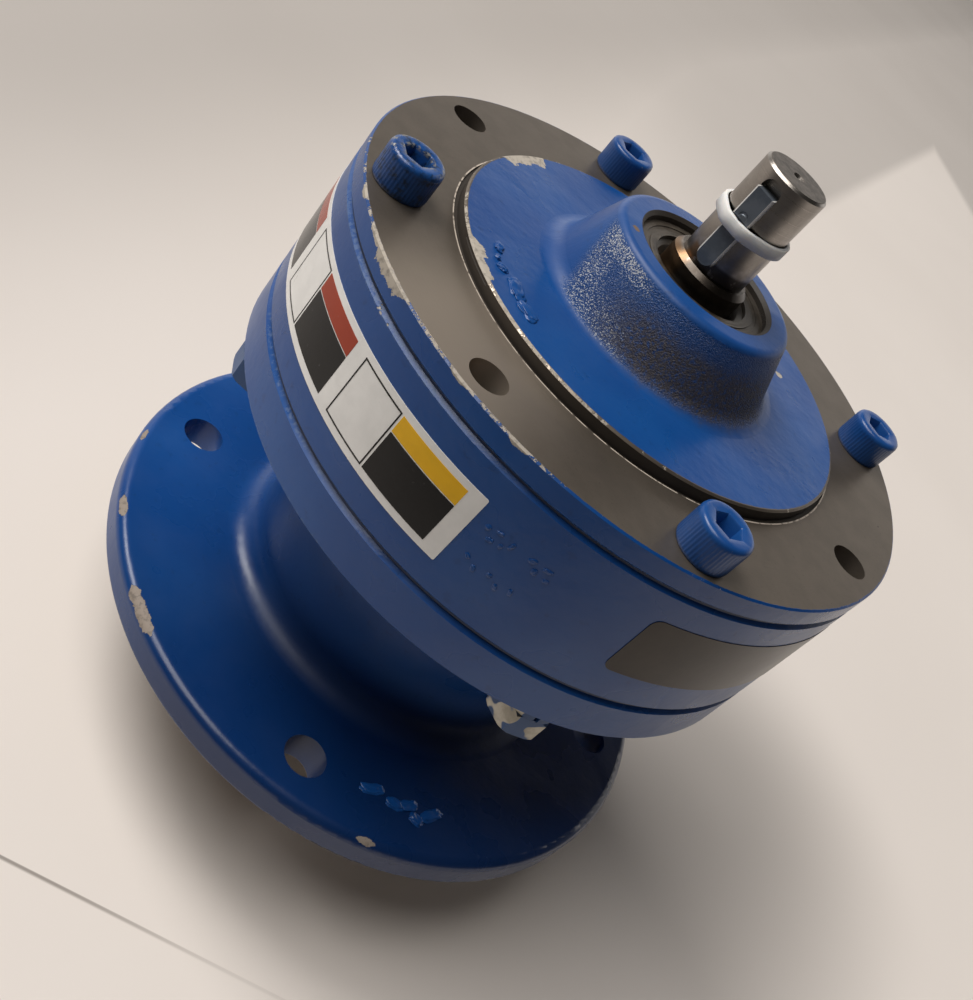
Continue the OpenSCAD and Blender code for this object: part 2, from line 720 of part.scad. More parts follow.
// The ring is stretched over the key and hugs the shaft elsewhere.
module key_retaining_ring() {
    color("whitesmoke") rotate([0, 0, input_key_angle]) translate([0, 0, collar_top_z + key_ring_offset])
        linear_extrude(key_ring_w) difference() {
            belt(key_ring_t);
            belt(0);
        }
}

module eccentric_cam() {
    hub_r = cam_seat_d / 2 + cam_key_h - cam_keyway_depth;
    color(HARDENED) difference() {
        union() {
            translate([-eccentricity, 0, 0]) chamfered(2 * cam_r, cam_z0, discs_mid_z + EPS, 0.5, 0);
            translate([eccentricity, 0, 0]) chamfered(2 * cam_r, discs_mid_z, cam_z1, 0, 0.5);
        }
        disc(cam_seat_d, cam_z0 - 1, cam_z1 + 1);
        rotate([0, 0, 90]) translate([0, -cam_key_w / 2, cam_z0 - 1])
            cube([hub_r, cam_key_w, cam_z1 - cam_z0 + 2]);
    }
}

module cam_key() {
    w = cam_key_w - 2 * seat_clear;
    color("slategray") rotate([0, 0, 90])
        round_slot(w, cam_seat_d / 2 - cam_keyway_depth, cam_seat_d / 2 + cam_key_h - cam_keyway_depth - seat_clear,
            discs_mid_z - cam_key_l / 2 + seat_clear, discs_mid_z + cam_key_l / 2 - seat_clear);
}

module pilot_spacer() {
    color(STEEL) tube(pilot_journal_d + 9, pilot_journal_d, carrier_top_z, cam_z0);
}

// Cycloid disc centred on its own axis, from level 0 up.
module cycloid_disc() {
    steps = lobes * lobe_points;
    color(HARDENED) difference() {
        linear_extrude(disc_t) polygon([for (i = [0:steps - 1]) disc_point(-360 * i / steps)]);
        disc(2 * disc_bore_r, -1, disc_t + 1);
        around(carrier_pins_n, carrier_circle_r) disc(2 * carrier_hole_r, -1, disc_t + 1);
    }
}

module cycloid_disc_input_side() {
    translate([eccentricity, 0, disc_in_z]) cycloid_disc();
}

module cycloid_disc_output_side() {
    translate([-eccentricity, 0, disc_out_z]) rotate([0, 0, 180]) cycloid_disc();
}

module disc_spacer_ring() {
    r_out = carrier_circle_r - carrier_roller_d / 2 - 0.3;
    color(STEEL) tube(2 * r_out, 2 * (cam_r + eccentricity + 1.5),
        discs_mid_z - disc_spacer_t / 2, discs_mid_z + disc_spacer_t / 2);
}

module cam_rollers(z) {
    color(STEEL) around(cam_rollers_n, cam_roller_circle_r)
        chamfered(cam_roller_d, z + face_gap + cam_cage_rail + cage_clear,
            z + disc_t - face_gap - cam_cage_rail - cage_clear, 0.3, 0.3);
}

module cam_cage(z) {
    z0 = z + face_gap;
    z1 = z + disc_t - face_gap;
    color("goldenrod") difference() {
        tube(2 * cam_roller_circle_r + cam_cage_t, 2 * cam_roller_circle_r - cam_cage_t, z0, z1);
        around(cam_rollers_n, cam_roller_circle_r)
            disc(cam_roller_d + 2 * cage_clear, z0 + cam_cage_rail, z1 - cam_cage_rail);
    }
}

module cam_rollers_input_side() translate([eccentricity, 0, 0]) cam_rollers(disc_in_z);

module cam_cage_input_side() translate([eccentricity, 0, 0]) cam_cage(disc_in_z);

module cam_rollers_output_side() translate([-eccentricity, 0, 0]) cam_rollers(disc_out_z);

module cam_cage_output_side() translate([-eccentricity, 0, 0]) cam_cage(disc_out_z);

module output_shaft() {
    neck_top_z = carrier_bearing_z;
    clip_z = neck_bearing_z - clip_t;
    color(STEEL) difference() {
        union() {
            chamfered(output_d, -output_l, journal_step_z + EPS, output_chamfer, 0);
            chamfered(neck_bearing[b_bore], journal_step_z, neck_top_z + EPS, 0.5, 0);
            chamfered(carrier_bearing[b_bore], neck_top_z, carrier_bearing_top_z + EPS, 0.5, 0);
            disc(carrier_bearing[b_bore] + 8, carrier_bearing_top_z, carrier_z + EPS);
            chamfered(carrier_d, carrier_z, carrier_top_z, 1, 1);
        }
        disc(pilot_bearing[b_od], pilot_bearing_z, carrier_top_z + 1);
        disc(pilot_bearing[b_od] - 6, pilot_bearing_z - 2.5, pilot_bearing_z + EPS);
        around(carrier_pins_n, carrier_circle_r) disc(carrier_pin_d, carrier_top_z - carrier_pin_press, carrier_top_z + 1);
        tube(neck_bearing[b_bore] + 2, neck_bearing[b_bore] - 2 * clip_groove, clip_z - 0.1, clip_z + clip_t);
        round_slot(output_key_w, output_d / 2 - output_keyway_depth, output_d, output_key_z,
            output_key_z + output_key_l);
        disc(end_thread_d, -output_l - 1, -output_l + end_thread_l);
        translate([0, 0, -output_l - EPS])
            cylinder(r1 = end_thread_d / 2 + 1, r2 = end_thread_d / 2, h = 1);
    }
}

module output_key() {
    w = output_key_w - 2 * seat_clear;
    floor_r = output_d / 2 - output_keyway_depth;
    color("slategray") round_slot(w, floor_r, floor_r + output_key_h, output_key_z + seat_clear,
        output_key_z + output_key_l - seat_clear);
}

module carrier_pins() {
    color(HARDENED) around(carrier_pins_n, carrier_circle_r)
        chamfered(carrier_pin_d, carrier_top_z - carrier_pin_press, carrier_roller_z1 + 1, 0.4, 0.5);
}

module carrier_roller(i) {
    if (i <= carrier_pins_n)
        color(STEEL) rotate([0, 0, (i - 1) * 360 / carrier_pins_n]) translate([carrier_circle_r, 0, 0])
            difference() {
                chamfered(carrier_roller_d, carrier_roller_z0, carrier_roller_z1, 0.4, 0.4);
                disc(carrier_pin_d + 2 * run_clear, carrier_roller_z0 - 1, carrier_roller_z1 + 1);
            }
}

module output_spacer_sleeve() {
    color(STEEL) tube(carrier_bearing[b_bore] + 6, neck_bearing[b_bore],
        neck_bearing_z + neck_bearing[b_w], carrier_bearing_z);
}

module input_bearing_outer_race() outer_race(input_bearing, input_bearing_z);

module input_bearing_inner_race() inner_race(input_bearing, input_bearing_z);

module input_bearing_balls() bearing_balls(input_bearing, input_bearing_z);

module input_bearing_cage() bearing_cage(input_bearing, input_bearing_z);

module neck_bearing_outer_race() outer_race(neck_bearing, neck_bearing_z);

module neck_bearing_inner_race() inner_race(neck_bearing, neck_bearing_z);

module neck_bearing_balls() bearing_balls(neck_bearing, neck_bearing_z);

module neck_bearing_cage() bearing_cage(neck_bearing, neck_bearing_z);

module carrier_bearing_outer_race() outer_race(carrier_bearing, carrier_bearing_z);

module carrier_bearing_inner_race() inner_race(carrier_bearing, carrier_bearing_z);

module carrier_bearing_balls() bearing_balls(carrier_bearing, carrier_bearing_z);

module carrier_bearing_cage() bearing_cage(carrier_bearing, carrier_bearing_z);

module pilot_bearing_outer_race() outer_race(pilot_bearing, pilot_bearing_z);

module pilot_bearing_inner_race() inner_race(pilot_bearing, pilot_bearing_z);

module pilot_bearing_balls() bearing_balls(pilot_bearing, pilot_bearing_z);

module pilot_bearing_cage() bearing_cage(pilot_bearing, pilot_bearing_z);

module cover_snap_ring() {
    snap_ring(input_bearing[b_od] - 5, input_bearing[b_od] + 2.4, input_bearing_z - clip_t, 20);
}

module casing_snap_ring() {
    snap_ring(carrier_bearing[b_od] - 7, carrier_bearing[b_od] + 3.8, carrier_bearing_top_z, 110);
}

module input_shaft_snap_ring() {
    snap_ring(input_journal_d - 2 * clip_groove, input_journal_d + 5, input_bearing_top_z, 200);
}

module output_shaft_snap_ring() {
    snap_ring(neck_bearing[b_bore] - 2 * clip_groove, neck_bearing[b_bore] + 6, neck_bearing_z - clip_t, 70);
}

output_casing();
ring_gear_housing();
input_end_cover();
output_gasket();
input_gasket();
casing_screws();
casing_nuts();
spring_washers();
ring_pins();
input_oil_seal();
output_oil_seal();
input_bearing_outer_race();
input_bearing_inner_race();
input_bearing_balls();
input_bearing_cage();
neck_bearing_outer_race();
neck_bearing_inner_race();
neck_bearing_balls();
neck_bearing_cage();
carrier_bearing_outer_race();
carrier_bearing_inner_race();
carrier_bearing_balls();
carrier_bearing_cage();
pilot_bearing_outer_race();
pilot_bearing_inner_race();
pilot_bearing_balls();
pilot_bearing_cage();
cover_snap_ring();
casing_snap_ring();
input_shaft_snap_ring();
output_shaft_snap_ring();
input_shaft();
input_key();
key_retaining_ring();
eccentric_cam();
cam_key();
pilot_spacer();
cycloid_disc_input_side();
cycloid_disc_output_side();
disc_spacer_ring();
cam_rollers_input_side();
cam_cage_input_side();
cam_rollers_output_side();
cam_cage_output_side();
output_shaft();
carrier_pins();
output_spacer_sleeve();
output_key();
carrier_roller(1);  // carrier_roller_1
carrier_roller(2);  // carrier_roller_2
carrier_roller(3);  // carrier_roller_3
carrier_roller(4);  // carrier_roller_4
carrier_roller(5);  // carrier_roller_5
carrier_roller(6);  // carrier_roller_6
carrier_roller(7);  // carrier_roller_7
carrier_roller(8);  // carrier_roller_8
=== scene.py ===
"""Looks of the cycloidal reducer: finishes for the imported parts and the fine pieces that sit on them."""

import json
import math
import random

import bmesh
import bpy
from mathutils import Matrix, Vector, noise


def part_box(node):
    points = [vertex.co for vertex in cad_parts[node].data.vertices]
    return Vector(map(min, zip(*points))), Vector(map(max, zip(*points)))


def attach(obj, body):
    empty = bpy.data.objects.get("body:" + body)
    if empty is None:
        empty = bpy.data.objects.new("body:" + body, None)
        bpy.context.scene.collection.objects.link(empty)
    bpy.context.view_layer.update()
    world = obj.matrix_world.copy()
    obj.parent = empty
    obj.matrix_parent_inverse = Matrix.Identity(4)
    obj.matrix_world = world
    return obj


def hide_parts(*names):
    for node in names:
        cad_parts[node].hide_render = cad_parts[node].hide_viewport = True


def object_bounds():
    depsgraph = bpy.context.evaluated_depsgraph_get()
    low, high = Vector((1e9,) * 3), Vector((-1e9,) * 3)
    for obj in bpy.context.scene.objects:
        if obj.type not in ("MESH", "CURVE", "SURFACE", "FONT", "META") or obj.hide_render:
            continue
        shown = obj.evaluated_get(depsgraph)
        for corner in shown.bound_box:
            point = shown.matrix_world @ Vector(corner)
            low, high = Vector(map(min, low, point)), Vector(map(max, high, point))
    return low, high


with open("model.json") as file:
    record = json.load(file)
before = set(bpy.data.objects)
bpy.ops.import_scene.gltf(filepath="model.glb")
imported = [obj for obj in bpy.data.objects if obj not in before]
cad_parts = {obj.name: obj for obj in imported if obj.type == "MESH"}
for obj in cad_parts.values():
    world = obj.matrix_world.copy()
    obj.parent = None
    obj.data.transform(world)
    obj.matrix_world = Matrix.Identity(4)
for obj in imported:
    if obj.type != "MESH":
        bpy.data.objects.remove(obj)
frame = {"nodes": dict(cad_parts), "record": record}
cad_bounds = [list(corner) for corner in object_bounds()]
MM = 0.001


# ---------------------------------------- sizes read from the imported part

def mount(name):
    return next(row for row in frame["record"]["mounts"] if row["name"] == name)


body_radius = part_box("ring_gear_housing")[1].x
ring_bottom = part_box("ring_gear_housing")[0].z
ring_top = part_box("ring_gear_housing")[1].z
flange_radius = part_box("output_casing")[1].x
boss_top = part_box("input_end_cover")[1].z
shaft_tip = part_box("input_shaft")[1].z
face_z = mount("cover_bolts")["pos_m"][2]
bolt_circle = mount("cover_bolts")["dims"]["pcd_mm"] / 2 * MM
disc_radius = mount("cover_pilot")["dims"]["r_mm"] * MM
disc_top = face_z + mount("cover_pilot")["dims"]["length_mm"] * MM


# ---------------------------------------- sizes of the reducer that the frame doesn't give

flange_top = 9 * MM
SCREW_ANGLES = [67.5, 157.5, 247.5, 337.5]
SCREW_TWISTS = [10, 40, -14, 24]
WORN_SCREW = SCREW_ANGLES[2]
COVER_HOLE_ANGLES = [22.5 + 45 * k for k in range(8)]
COVER_HOLE_REACH = 4.72 * MM
HEAD_RADIUS = 6.5 * MM
HEAD_HEIGHT = 8.0 * MM
KEY_AZIMUTH = math.radians(-71)


def on_circle(azimuth, radius):
    """The x and y of a point at an azimuth in radians."""
    return radius * math.cos(azimuth), radius * math.sin(azimuth)


def screw_place(degrees):
    return on_circle(math.radians(degrees), bolt_circle)


# ---------------------------------------- camera and light

CAMERA_PLACE = (0.1525, -0.2121, 0.2275)
CAMERA_RIGHT = Vector((0.3554, 0.7375, 0.5742))
CAMERA_UP = Vector((-0.8003, -0.0773, 0.5946))
CAMERA_LENS = 46.02
LAMP_AIM = Vector((0, 0, 0.07))
LAMP_DISTANCE = 5.0
LAMP_COLOUR = (1.0, 0.965, 0.92)


def place_camera():
    lens = bpy.data.cameras.new("camera")
    camera = bpy.data.objects.new("camera", lens)
    bpy.context.scene.collection.objects.link(camera)
    back = CAMERA_RIGHT.cross(CAMERA_UP).normalized()
    up = back.cross(CAMERA_RIGHT).normalized()
    turn = Matrix((CAMERA_RIGHT.normalized(), up, back)).transposed().to_4x4()
    camera.matrix_world = Matrix.Translation(CAMERA_PLACE) @ turn
    lens.sensor_fit = "HORIZONTAL"
    lens.sensor_width = 36
    lens.lens = CAMERA_LENS
    lens.clip_start = 0.005
    lens.clip_end = 60
    bpy.context.scene.camera = camera


def soft_lamp(name, azimuth, elevation, size, power):
    """A round lamp that points at the middle of the reducer."""
    lamp = bpy.data.lights.new(name, "AREA")
    lamp.shape = "DISK"
    lamp.size = size
    lamp.energy = power
    lamp.color = LAMP_COLOUR
    rise = math.radians(elevation)
    x, y = on_circle(math.radians(azimuth), math.cos(rise))
    away = Vector((x, y, math.sin(rise))) * LAMP_DISTANCE
    obj = bpy.data.objects.new(name, lamp)
    obj.location = LAMP_AIM + away
    obj.rotation_euler = (-away).to_track_quat("-Z", "Y").to_euler()
    bpy.context.scene.collection.objects.link(obj)


place_camera()
soft_lamp("key_light", azimuth=-150, elevation=49, size=2.3, power=125)
soft_lamp("ceiling_light", azimuth=-112, elevation=62, size=4.0, power=170)
bpy.context.scene.view_settings.view_transform = "Standard"


# ---------------------------------------- building finishes

def darker(colour, share):
    return tuple(share * c for c in colour)


class Finish:
    """One procedural finish: a Principled shader and the node maths that feeds it. Lengths are in metres."""

    def __init__(self, name):
        self.material = bpy.data.materials.new(name)
        self.material.use_nodes = True
        self.tree = self.material.node_tree
        self.tree.nodes.clear()
        output = self.tree.nodes.new("ShaderNodeOutputMaterial")
        self.shader = self.tree.nodes.new("ShaderNodeBsdfPrincipled")
        self.tree.links.new(self.shader.outputs[0], output.inputs[0])
        self.place = self.tree.nodes.new("ShaderNodeTexCoord").outputs["Object"]
        split = self.tree.nodes.new("ShaderNodeSeparateXYZ")
        self.tree.links.new(self.place, split.inputs[0])
        self.x, self.y, self.z = split.outputs
        self.normal = None

    def feed(self, socket, value):
        """Links a socket to a node's output, or sets it to a number or a colour."""
        if isinstance(value, bpy.types.NodeSocket):
            self.tree.links.new(value, socket)
        elif isinstance(value, tuple) and socket.type == "RGBA":
            socket.default_value = (*value, 1)
        else:
            socket.default_value = value

    def set(self, **values):
        for name, value in values.items():
            self.feed(self.shader.inputs[name.replace("_", " ")], value)

    def fed(self, name):
        """What already feeds one of the shader's sockets."""
        return self.shader.inputs[name].links[0].from_socket

    # numbers

    def calc(self, operation, a, b=0.0, clamp=False):
        node = self.tree.nodes.new("ShaderNodeMath")
        node.operation = operation
        node.use_clamp = clamp
        self.feed(node.inputs[0], a)
        self.feed(node.inputs[1], b)
        return node.outputs[0]

    def plus(self, a, b):
        return self.calc("ADD", a, b)

    def minus(self, a, b):
        return self.calc("SUBTRACT", a, b)

    def times(self, a, b):
        return self.calc("MULTIPLY", a, b)

    def distance(self, dx, dy):
        return self.calc("SQRT", self.plus(self.times(dx, dx), self.times(dy, dy)))

    def radius(self, cx=0.0, cy=0.0):
        """Distance from an upright axis."""
        return self.distance(self.minus(self.x, cx), self.minus(self.y, cy))

    def angle(self):
        return self.calc("ARCTAN2", self.y, self.x)

    def along(self, x, y, z):
        node = self.tree.nodes.new("ShaderNodeCombineXYZ")
        for socket, value in zip(node.inputs, (x, y, z)):
            self.feed(socket, value)
        return node.outputs[0]

    # masks, from 0 to 1

    def rise(self, value, start, end):
        """0 at start and 1 at end, whichever of the two is the higher."""
        node = self.tree.nodes.new("ShaderNodeMapRange")
        node.interpolation_type = "SMOOTHSTEP"
        falls = end < start
        self.feed(node.inputs["Value"], value)
        self.feed(node.inputs["From Min"], end if falls else start)
        self.feed(node.inputs["From Max"], start if falls else end)
        node.inputs["To Min"].default_value = 1.0 if falls else 0.0
        node.inputs["To Max"].default_value = 0.0 if falls else 1.0
        return node.outputs["Result"]

    def past(self, value, base, start, end):
        """0 at start and 1 at end, in millimetres past a base."""
        return self.rise(value, base + start * MM, base + end * MM)

    def any_of(self, *masks):
        total = masks[0]
        for mask in masks[1:]:
            total = self.calc("MAXIMUM", total, mask)
        return total

    def both(self, *masks):
        total = masks[0]
        for mask in masks[1:]:
            total = self.times(total, mask)
        return total

    def less(self, a, b):
        return self.calc("SUBTRACT", a, b, clamp=True)

    def grain(self, scale, detail=3, rough=0.6, at=None, warp=0.0):
        """Noise, with scale in grains a metre unless at gives coordinates of its own."""
        node = self.tree.nodes.new("ShaderNodeTexNoise")
        self.feed(node.inputs["Vector"], at if at is not None else self.place)
        node.inputs["Scale"].default_value = scale
        node.inputs["Detail"].default_value = detail
        node.inputs["Roughness"].default_value = rough
        node.inputs["Distortion"].default_value = warp
        return node.outputs["Fac"]

    def mottle(self, scale, start, end, detail=3, rough=0.6):
        """Irregular patches: grain that rises between two levels."""
        return self.rise(self.grain(scale, detail, rough), start, end)

    def ragged(self, scale, detail, rough, width):
        """A length that wanders by half the width either way."""
        return self.times(self.minus(self.grain(scale, detail, rough), 0.5), width)

    def spot(self, centre, radius, soft, uneven=0.0):
        """A round patch about a point. Its border wanders by uneven times its radius."""
        node = self.tree.nodes.new("ShaderNodeVectorMath")
        node.operation = "DISTANCE"
        self.feed(node.inputs[0], self.place)
        node.inputs[1].default_value = centre
        far = node.outputs["Value"]
        if uneven:
            far = self.plus(far, self.ragged(620, 3, 0.6, uneven * radius))
        return self.rise(far, radius, radius * (1 - soft))

    # blends and relief

    def tint(self, share, a, b):
        """Colour a where the mask is 0 and colour b where it is 1."""
        node = self.tree.nodes.new("ShaderNodeMix")
        node.data_type = "RGBA"
        self.feed(node.inputs[0], share)
        self.feed(node.inputs[6], a)
        self.feed(node.inputs[7], b)
        return node.outputs[2]

    def level(self, share, a, b):
        """Number a where the mask is 0 and number b where it is 1."""
        node = self.tree.nodes.new("ShaderNodeMix")
        node.data_type = "FLOAT"
        self.feed(node.inputs[0], share)
        self.feed(node.inputs[2], a)
        self.feed(node.inputs[3], b)
        return node.outputs[0]

    def relief(self, height, depth, strength):
        """Adds bumps as deep as depth to those that the finish already has."""
        node = self.tree.nodes.new("ShaderNodeBump")
        self.feed(node.inputs["Height"], height)
        node.inputs["Distance"].default_value = depth
        self.feed(node.inputs["Strength"], strength)
        if self.normal is not None:
            self.tree.links.new(self.normal, node.inputs["Normal"])
        self.normal = node.outputs["Normal"]
        self.tree.links.new(self.normal, self.shader.inputs["Normal"])


def sector(f, low, high, fade, lean=0.0):
    """1 between two azimuths in degrees, fading out over fade degrees. It leans by lean degrees a metre."""
    azimuth = f.times(f.angle(), 180 / math.pi)
    if lean:
        azimuth = f.plus(azimuth, f.times(f.minus(f.z, boss_top), lean))
    return f.both(f.rise(azimuth, low - fade, low), f.rise(azimuth, high + fade, high))


def in_holes(f, angles, radius):
    """Inside the round holes that stand at those angles on the bolt circle."""
    from_axes = [f.radius(*screw_place(degrees)) for degrees in angles]
    return f.any_of(*[f.rise(gap, radius, radius - 0.1 * MM) for gap in from_axes])


def flakes(f, spots):
    """Ragged flaked patches: (x, y, z, radius) in millimetres."""
    return f.any_of(*[f.spot((x * MM, y * MM, z * MM), radius * MM, 0.06, 1.5) for x, y, z, radius in spots])


def chip_run(f, low, high, gap, depth):
    """Paint flaked off along an edge between two azimuths. gap is the distance from the edge."""
    torn = f.ragged(480, 4, 0.75, 2.2 * depth)
    reach = f.times(sector(f, low, high, 2.0), 1.25 * depth)
    flaked = f.rise(f.minus(reach, f.plus(gap, torn)), 0.0, 0.03 * MM)
    return f.both(flaked, f.rise(reach, 0.02 * depth, 0.1 * depth))


def chip_runs(f, runs, gap):
    """Several runs of flaked paint: (first azimuth, last azimuth, depth in millimetres)."""
    return f.any_of(*[chip_run(f, low, high, gap, depth * MM) for low, high, depth in runs])


def broken_line(f, edge, scale, start):
    """A worn edge that shows in broken lengths, which run longer on the side where the label is."""
    handled = f.times(sector(f, -118, -52, 8), 0.16)
    return f.both(edge, f.rise(f.plus(f.grain(scale, 4, 0.75), handled), start, start + 0.04))


# ---------------------------------------- blue enamel and the castings under it

BLUE = (0.004, 0.061, 0.255)
BLUE_PALE = (0.007, 0.078, 0.295)
BLUE_DEEP = (0.003, 0.032, 0.125)
BLUE_PAINTED_SHADE = (0.0025, 0.021, 0.092)
SCUFFS_AND_HIGHLIGHT = (0.10, 0.17, 0.32)
UNDERCOAT = (0.50, 0.45, 0.385)
UNDERCOAT_BROWN = (0.30, 0.25, 0.21)
IRON = (0.235, 0.20, 0.165)
IRON_SPECK = (0.11, 0.092, 0.075)
IRON_PORE = (0.035, 0.025, 0.02)
IRON_PAINTED_REFLECTION = (0.62, 0.53, 0.44)
GROOVE_EDGE_HIGHLIGHT = (0.62, 0.54, 0.46)
GLINT = (0.56, 0.59, 0.64)
GRIME = (0.058, 0.047, 0.043)
DUST = (0.15, 0.13, 0.115)
STAIN = (0.17, 0.105, 0.065)
DIRT_AND_PAINTED_SHADE = (0.034, 0.027, 0.021)
SCREW_BLUE = (0.008, 0.062, 0.245)
SCREW_BLUE_PALE = (0.012, 0.080, 0.29)
SCREW_SMEAR_AND_SHADE = (0.01, 0.03, 0.08)
SCREW_RUBBED = (0.36, 0.36, 0.36)
SCREW_SHANK = (0.25, 0.25, 0.24)

# The side that the label is on, where the edges are worn and also carry a painted highlight: first and last
# azimuth, and fade.
LABEL_SIDE = (-108, -72, 14)

# Flaked paint along edges: first azimuth, last azimuth, depth in millimetres.
COVER_RIM_CHIPS = ((-92.5, -85.5, 1.9), (-97, -84, 0.8), (-106.4, -105.4, 0.8), (-69.3, -67.7, 0.7),
                   (-57.2, -55.6, 0.7))
DISC_EDGE_CHIPS = ((-168, -153, 2.5), (-102, -90, 1.3), (-101, -97, 2.0))
FLANGE_CHIPS = ((-87.6, -80.8, 1.2), (-107.0, -105.0, 0.9), (-29.3, -28.7, 0.8), (-125.4, -124.6, 0.6))
# Single flakes and stains: x, y, z and radius in millimetres.
DISC_FLAKES = ((8.1, 39.7, 116.7, 1.0),)
MOUTH_STAINS = ((-7.3, -19.1, 133.0, 0.95),)
# The boss's sand grains, and the glints painted on them, lean with its cast draught, in degrees a metre.
GRAIN_LEAN = 1600


def iron(f, bright):
    """Turned cast iron with darker specks and open pores, and a paler fan painted in where it reflects the
    light.
    """
    metal = f.tint(f.mottle(130, 0.3, 0.7, 4), IRON, darker(IRON, 0.86))
    metal = f.tint(f.times(f.mottle(1500, 0.6, 0.72), 0.35), metal, IRON_SPECK)
    metal = f.tint(f.mottle(330, 0.79, 0.81, 2, 0.5), metal, IRON_PORE)
    return f.tint(bright, metal, IRON_PAINTED_REFLECTION)


def enamel(f, bare=0.0, chips=0.0, worn=0.0, grit=0.0, dirt=0.0, painted_glints=0.0, bright=0.0, dull=0.0,
           painted_shade=0.0, undercoat=UNDERCOAT):
    """Brushed blue enamel over cast iron. Each argument is a mask: machined metal, flaked spots, scuffed
    lines with a painted highlight along them, sand-cast skin, grime, glints painted on the grains, a painted
    reflection on the machined metal, flat paint and painted shade."""
    colour = f.tint(f.mottle(26, 0.35, 0.7, rough=0.55), BLUE, BLUE_PALE)
    colour = f.tint(f.times(f.mottle(420, 0.62, 0.75, 2, 0.5), 0.3), colour, BLUE_DEEP)
    # Painted shade: a deeper blue where the part lies in shade.
    colour = f.tint(painted_shade, colour, BLUE_PAINTED_SHADE)
    colour = f.tint(f.times(grit, 0.3), colour, BLUE_DEEP)
    # Painted highlight: pale glints on the grains, placed by the mask.
    grains = f.rise(f.plus(f.grain(2900, 2, 0.7), f.times(painted_glints, 0.04)), 0.58, 0.64)
    colour = f.tint(f.calc("MULTIPLY", painted_glints, grains, clamp=True), colour, GLINT)
    colour = f.tint(f.both(dirt, f.mottle(1300, 0.30, 0.55, 4, 0.65)), colour, GRIME)
    colour = f.tint(f.both(dirt, f.mottle(1700, 0.58, 0.66, 2), 0.6), colour, DUST)
    # Scuffed lines, whose paler colour also serves as a painted highlight along the edges.
    colour = f.tint(worn, colour, SCUFFS_AND_HIGHLIGHT)
    # Bare iron, with a painted reflection wherever the bright mask is set.
    colour = f.tint(bare, colour, iron(f, bright))
    under = f.tint(f.mottle(800, 0.45, 0.7), undercoat, darker(undercoat, 0.6))
    f.set(Base_Color=f.tint(chips, colour, under))
    shine = f.level(f.mottle(60, 0.3, 0.7, rough=0.5), 0.25, 0.36)
    for mask, rough in ((dull, 0.46), (grit, 0.36), (dirt, 0.55), (worn, 0.5), (bare, 0.42), (chips, 0.7)):
        shine = f.level(mask, shine, rough)
    f.set(Roughness=shine, Metallic=f.times(f.less(bare, chips), 0.8))
    painted = f.less(f.less(1.0, bare), chips)
    brush = f.along(f.times(f.x, 90.0), f.times(f.minus(f.y, f.x), 520.0), f.times(f.z, 300.0))
    f.relief(f.grain(1.0, at=brush), 0.06 * MM, f.times(painted, 0.4))
    f.relief(f.grain(95, 2, 0.5), 0.4 * MM, f.times(painted, 0.4))
    f.relief(f.grain(560, 2, 0.5), 0.08 * MM, f.times(painted, 0.5))
    f.relief(f.grain(2700, 3, 0.62), 0.6 * MM, f.times(grit, 0.9))
    f.relief(chips, -0.25 * MM, 0.8)


def cover_turned(f, r, z, on_face):
    """The turned face round the raised disc, the disc's corner, the holes and all that lies inside."""
    torn = f.plus(r, f.ragged(900, 4, 0.7, 0.5 * MM))
    face = f.both(on_face, f.past(torn, body_radius, -0.42, -0.50))
    groove_floor = f.both(f.past(r, disc_radius, 1.2, 1.1), f.past(z, face_z, -1, -0.6))
    face = f.both(f.any_of(face, groove_floor), f.past(r, disc_radius, -0.30, -0.28))
    disc_corner = f.both(f.past(torn, disc_radius, -0.75, -0.6), f.past(z, disc_top, -0.6, -0.5))
    holes = in_holes(f, COVER_HOLE_ANGLES, COVER_HOLE_REACH)
    return f.any_of(face, disc_corner, holes, f.past(z, face_z, -5.3, -5.5))


def cover_chips(f, r, z):
    """Flakes off the rim and off the disc's edge, and the thin broken lines where both are worn."""
    side = f.past(r, body_radius, -0.50, -0.42)
    rim_chips = f.both(side, chip_runs(f, COVER_RIM_CHIPS, f.minus(face_z, z)))
    disc_chips = chip_runs(f, DISC_EDGE_CHIPS, f.minus(disc_radius - 0.3 * MM, r))
    disc_chips = f.both(disc_chips, f.past(z, disc_top, -1.3, -0.9))
    rim_edge = f.both(f.past(r, body_radius, -0.55, -0.35), f.past(z, face_z, -0.5, -0.3))
    disc_edge = f.both(f.past(r, disc_radius, -0.62, -0.5), f.past(z, disc_top, -0.45, -0.3))
    return f.any_of(rim_chips, disc_chips, flakes(f, DISC_FLAKES),
                    broken_line(f, rim_edge, 520, 0.66), broken_line(f, disc_edge, 420, 0.60))


def boss_painted_glints(f, z, grit):
    """Where glints are painted pale on the boss's sand grains as their highlight: most on the side that faces
    the lamps, and there most near its edges.
    """
    bright_side = sector(f, -114, -84, 10, GRAIN_LEAN)
    edges = f.any_of(f.past(z, boss_top, -5.5, -3), f.past(z, disc_top, 8, 4),
                     sector(f, -116, -104, 8, GRAIN_LEAN))
    painted_glints = f.both(grit, f.level(bright_side, 0.16, 1.0), f.level(edges, 0.35, 1.0))
    rim_glint = f.both(f.past(z, boss_top, -5, -3.2), f.past(z, boss_top, -0.9, -1.6),
                       sector(f, -104, -78, 12, GRAIN_LEAN))
    return f.plus(painted_glints, f.times(rim_glint, 0.8))


def boss_dirt(f, r, z):
    """Grime on the lower side of the boss, with an uneven border at both ends."""
    uneven = f.times(f.grain(240), 5 * MM)
    height = f.both(f.past(f.plus(z, uneven), boss_top, -0.5, -6),
                    f.past(f.minus(z, f.times(uneven, 0.6)), disc_top, -1.6, 0.8))
    return f.both(sector(f, -50, 18, 38), height, f.past(r, 0, 36, 31), 0.92)


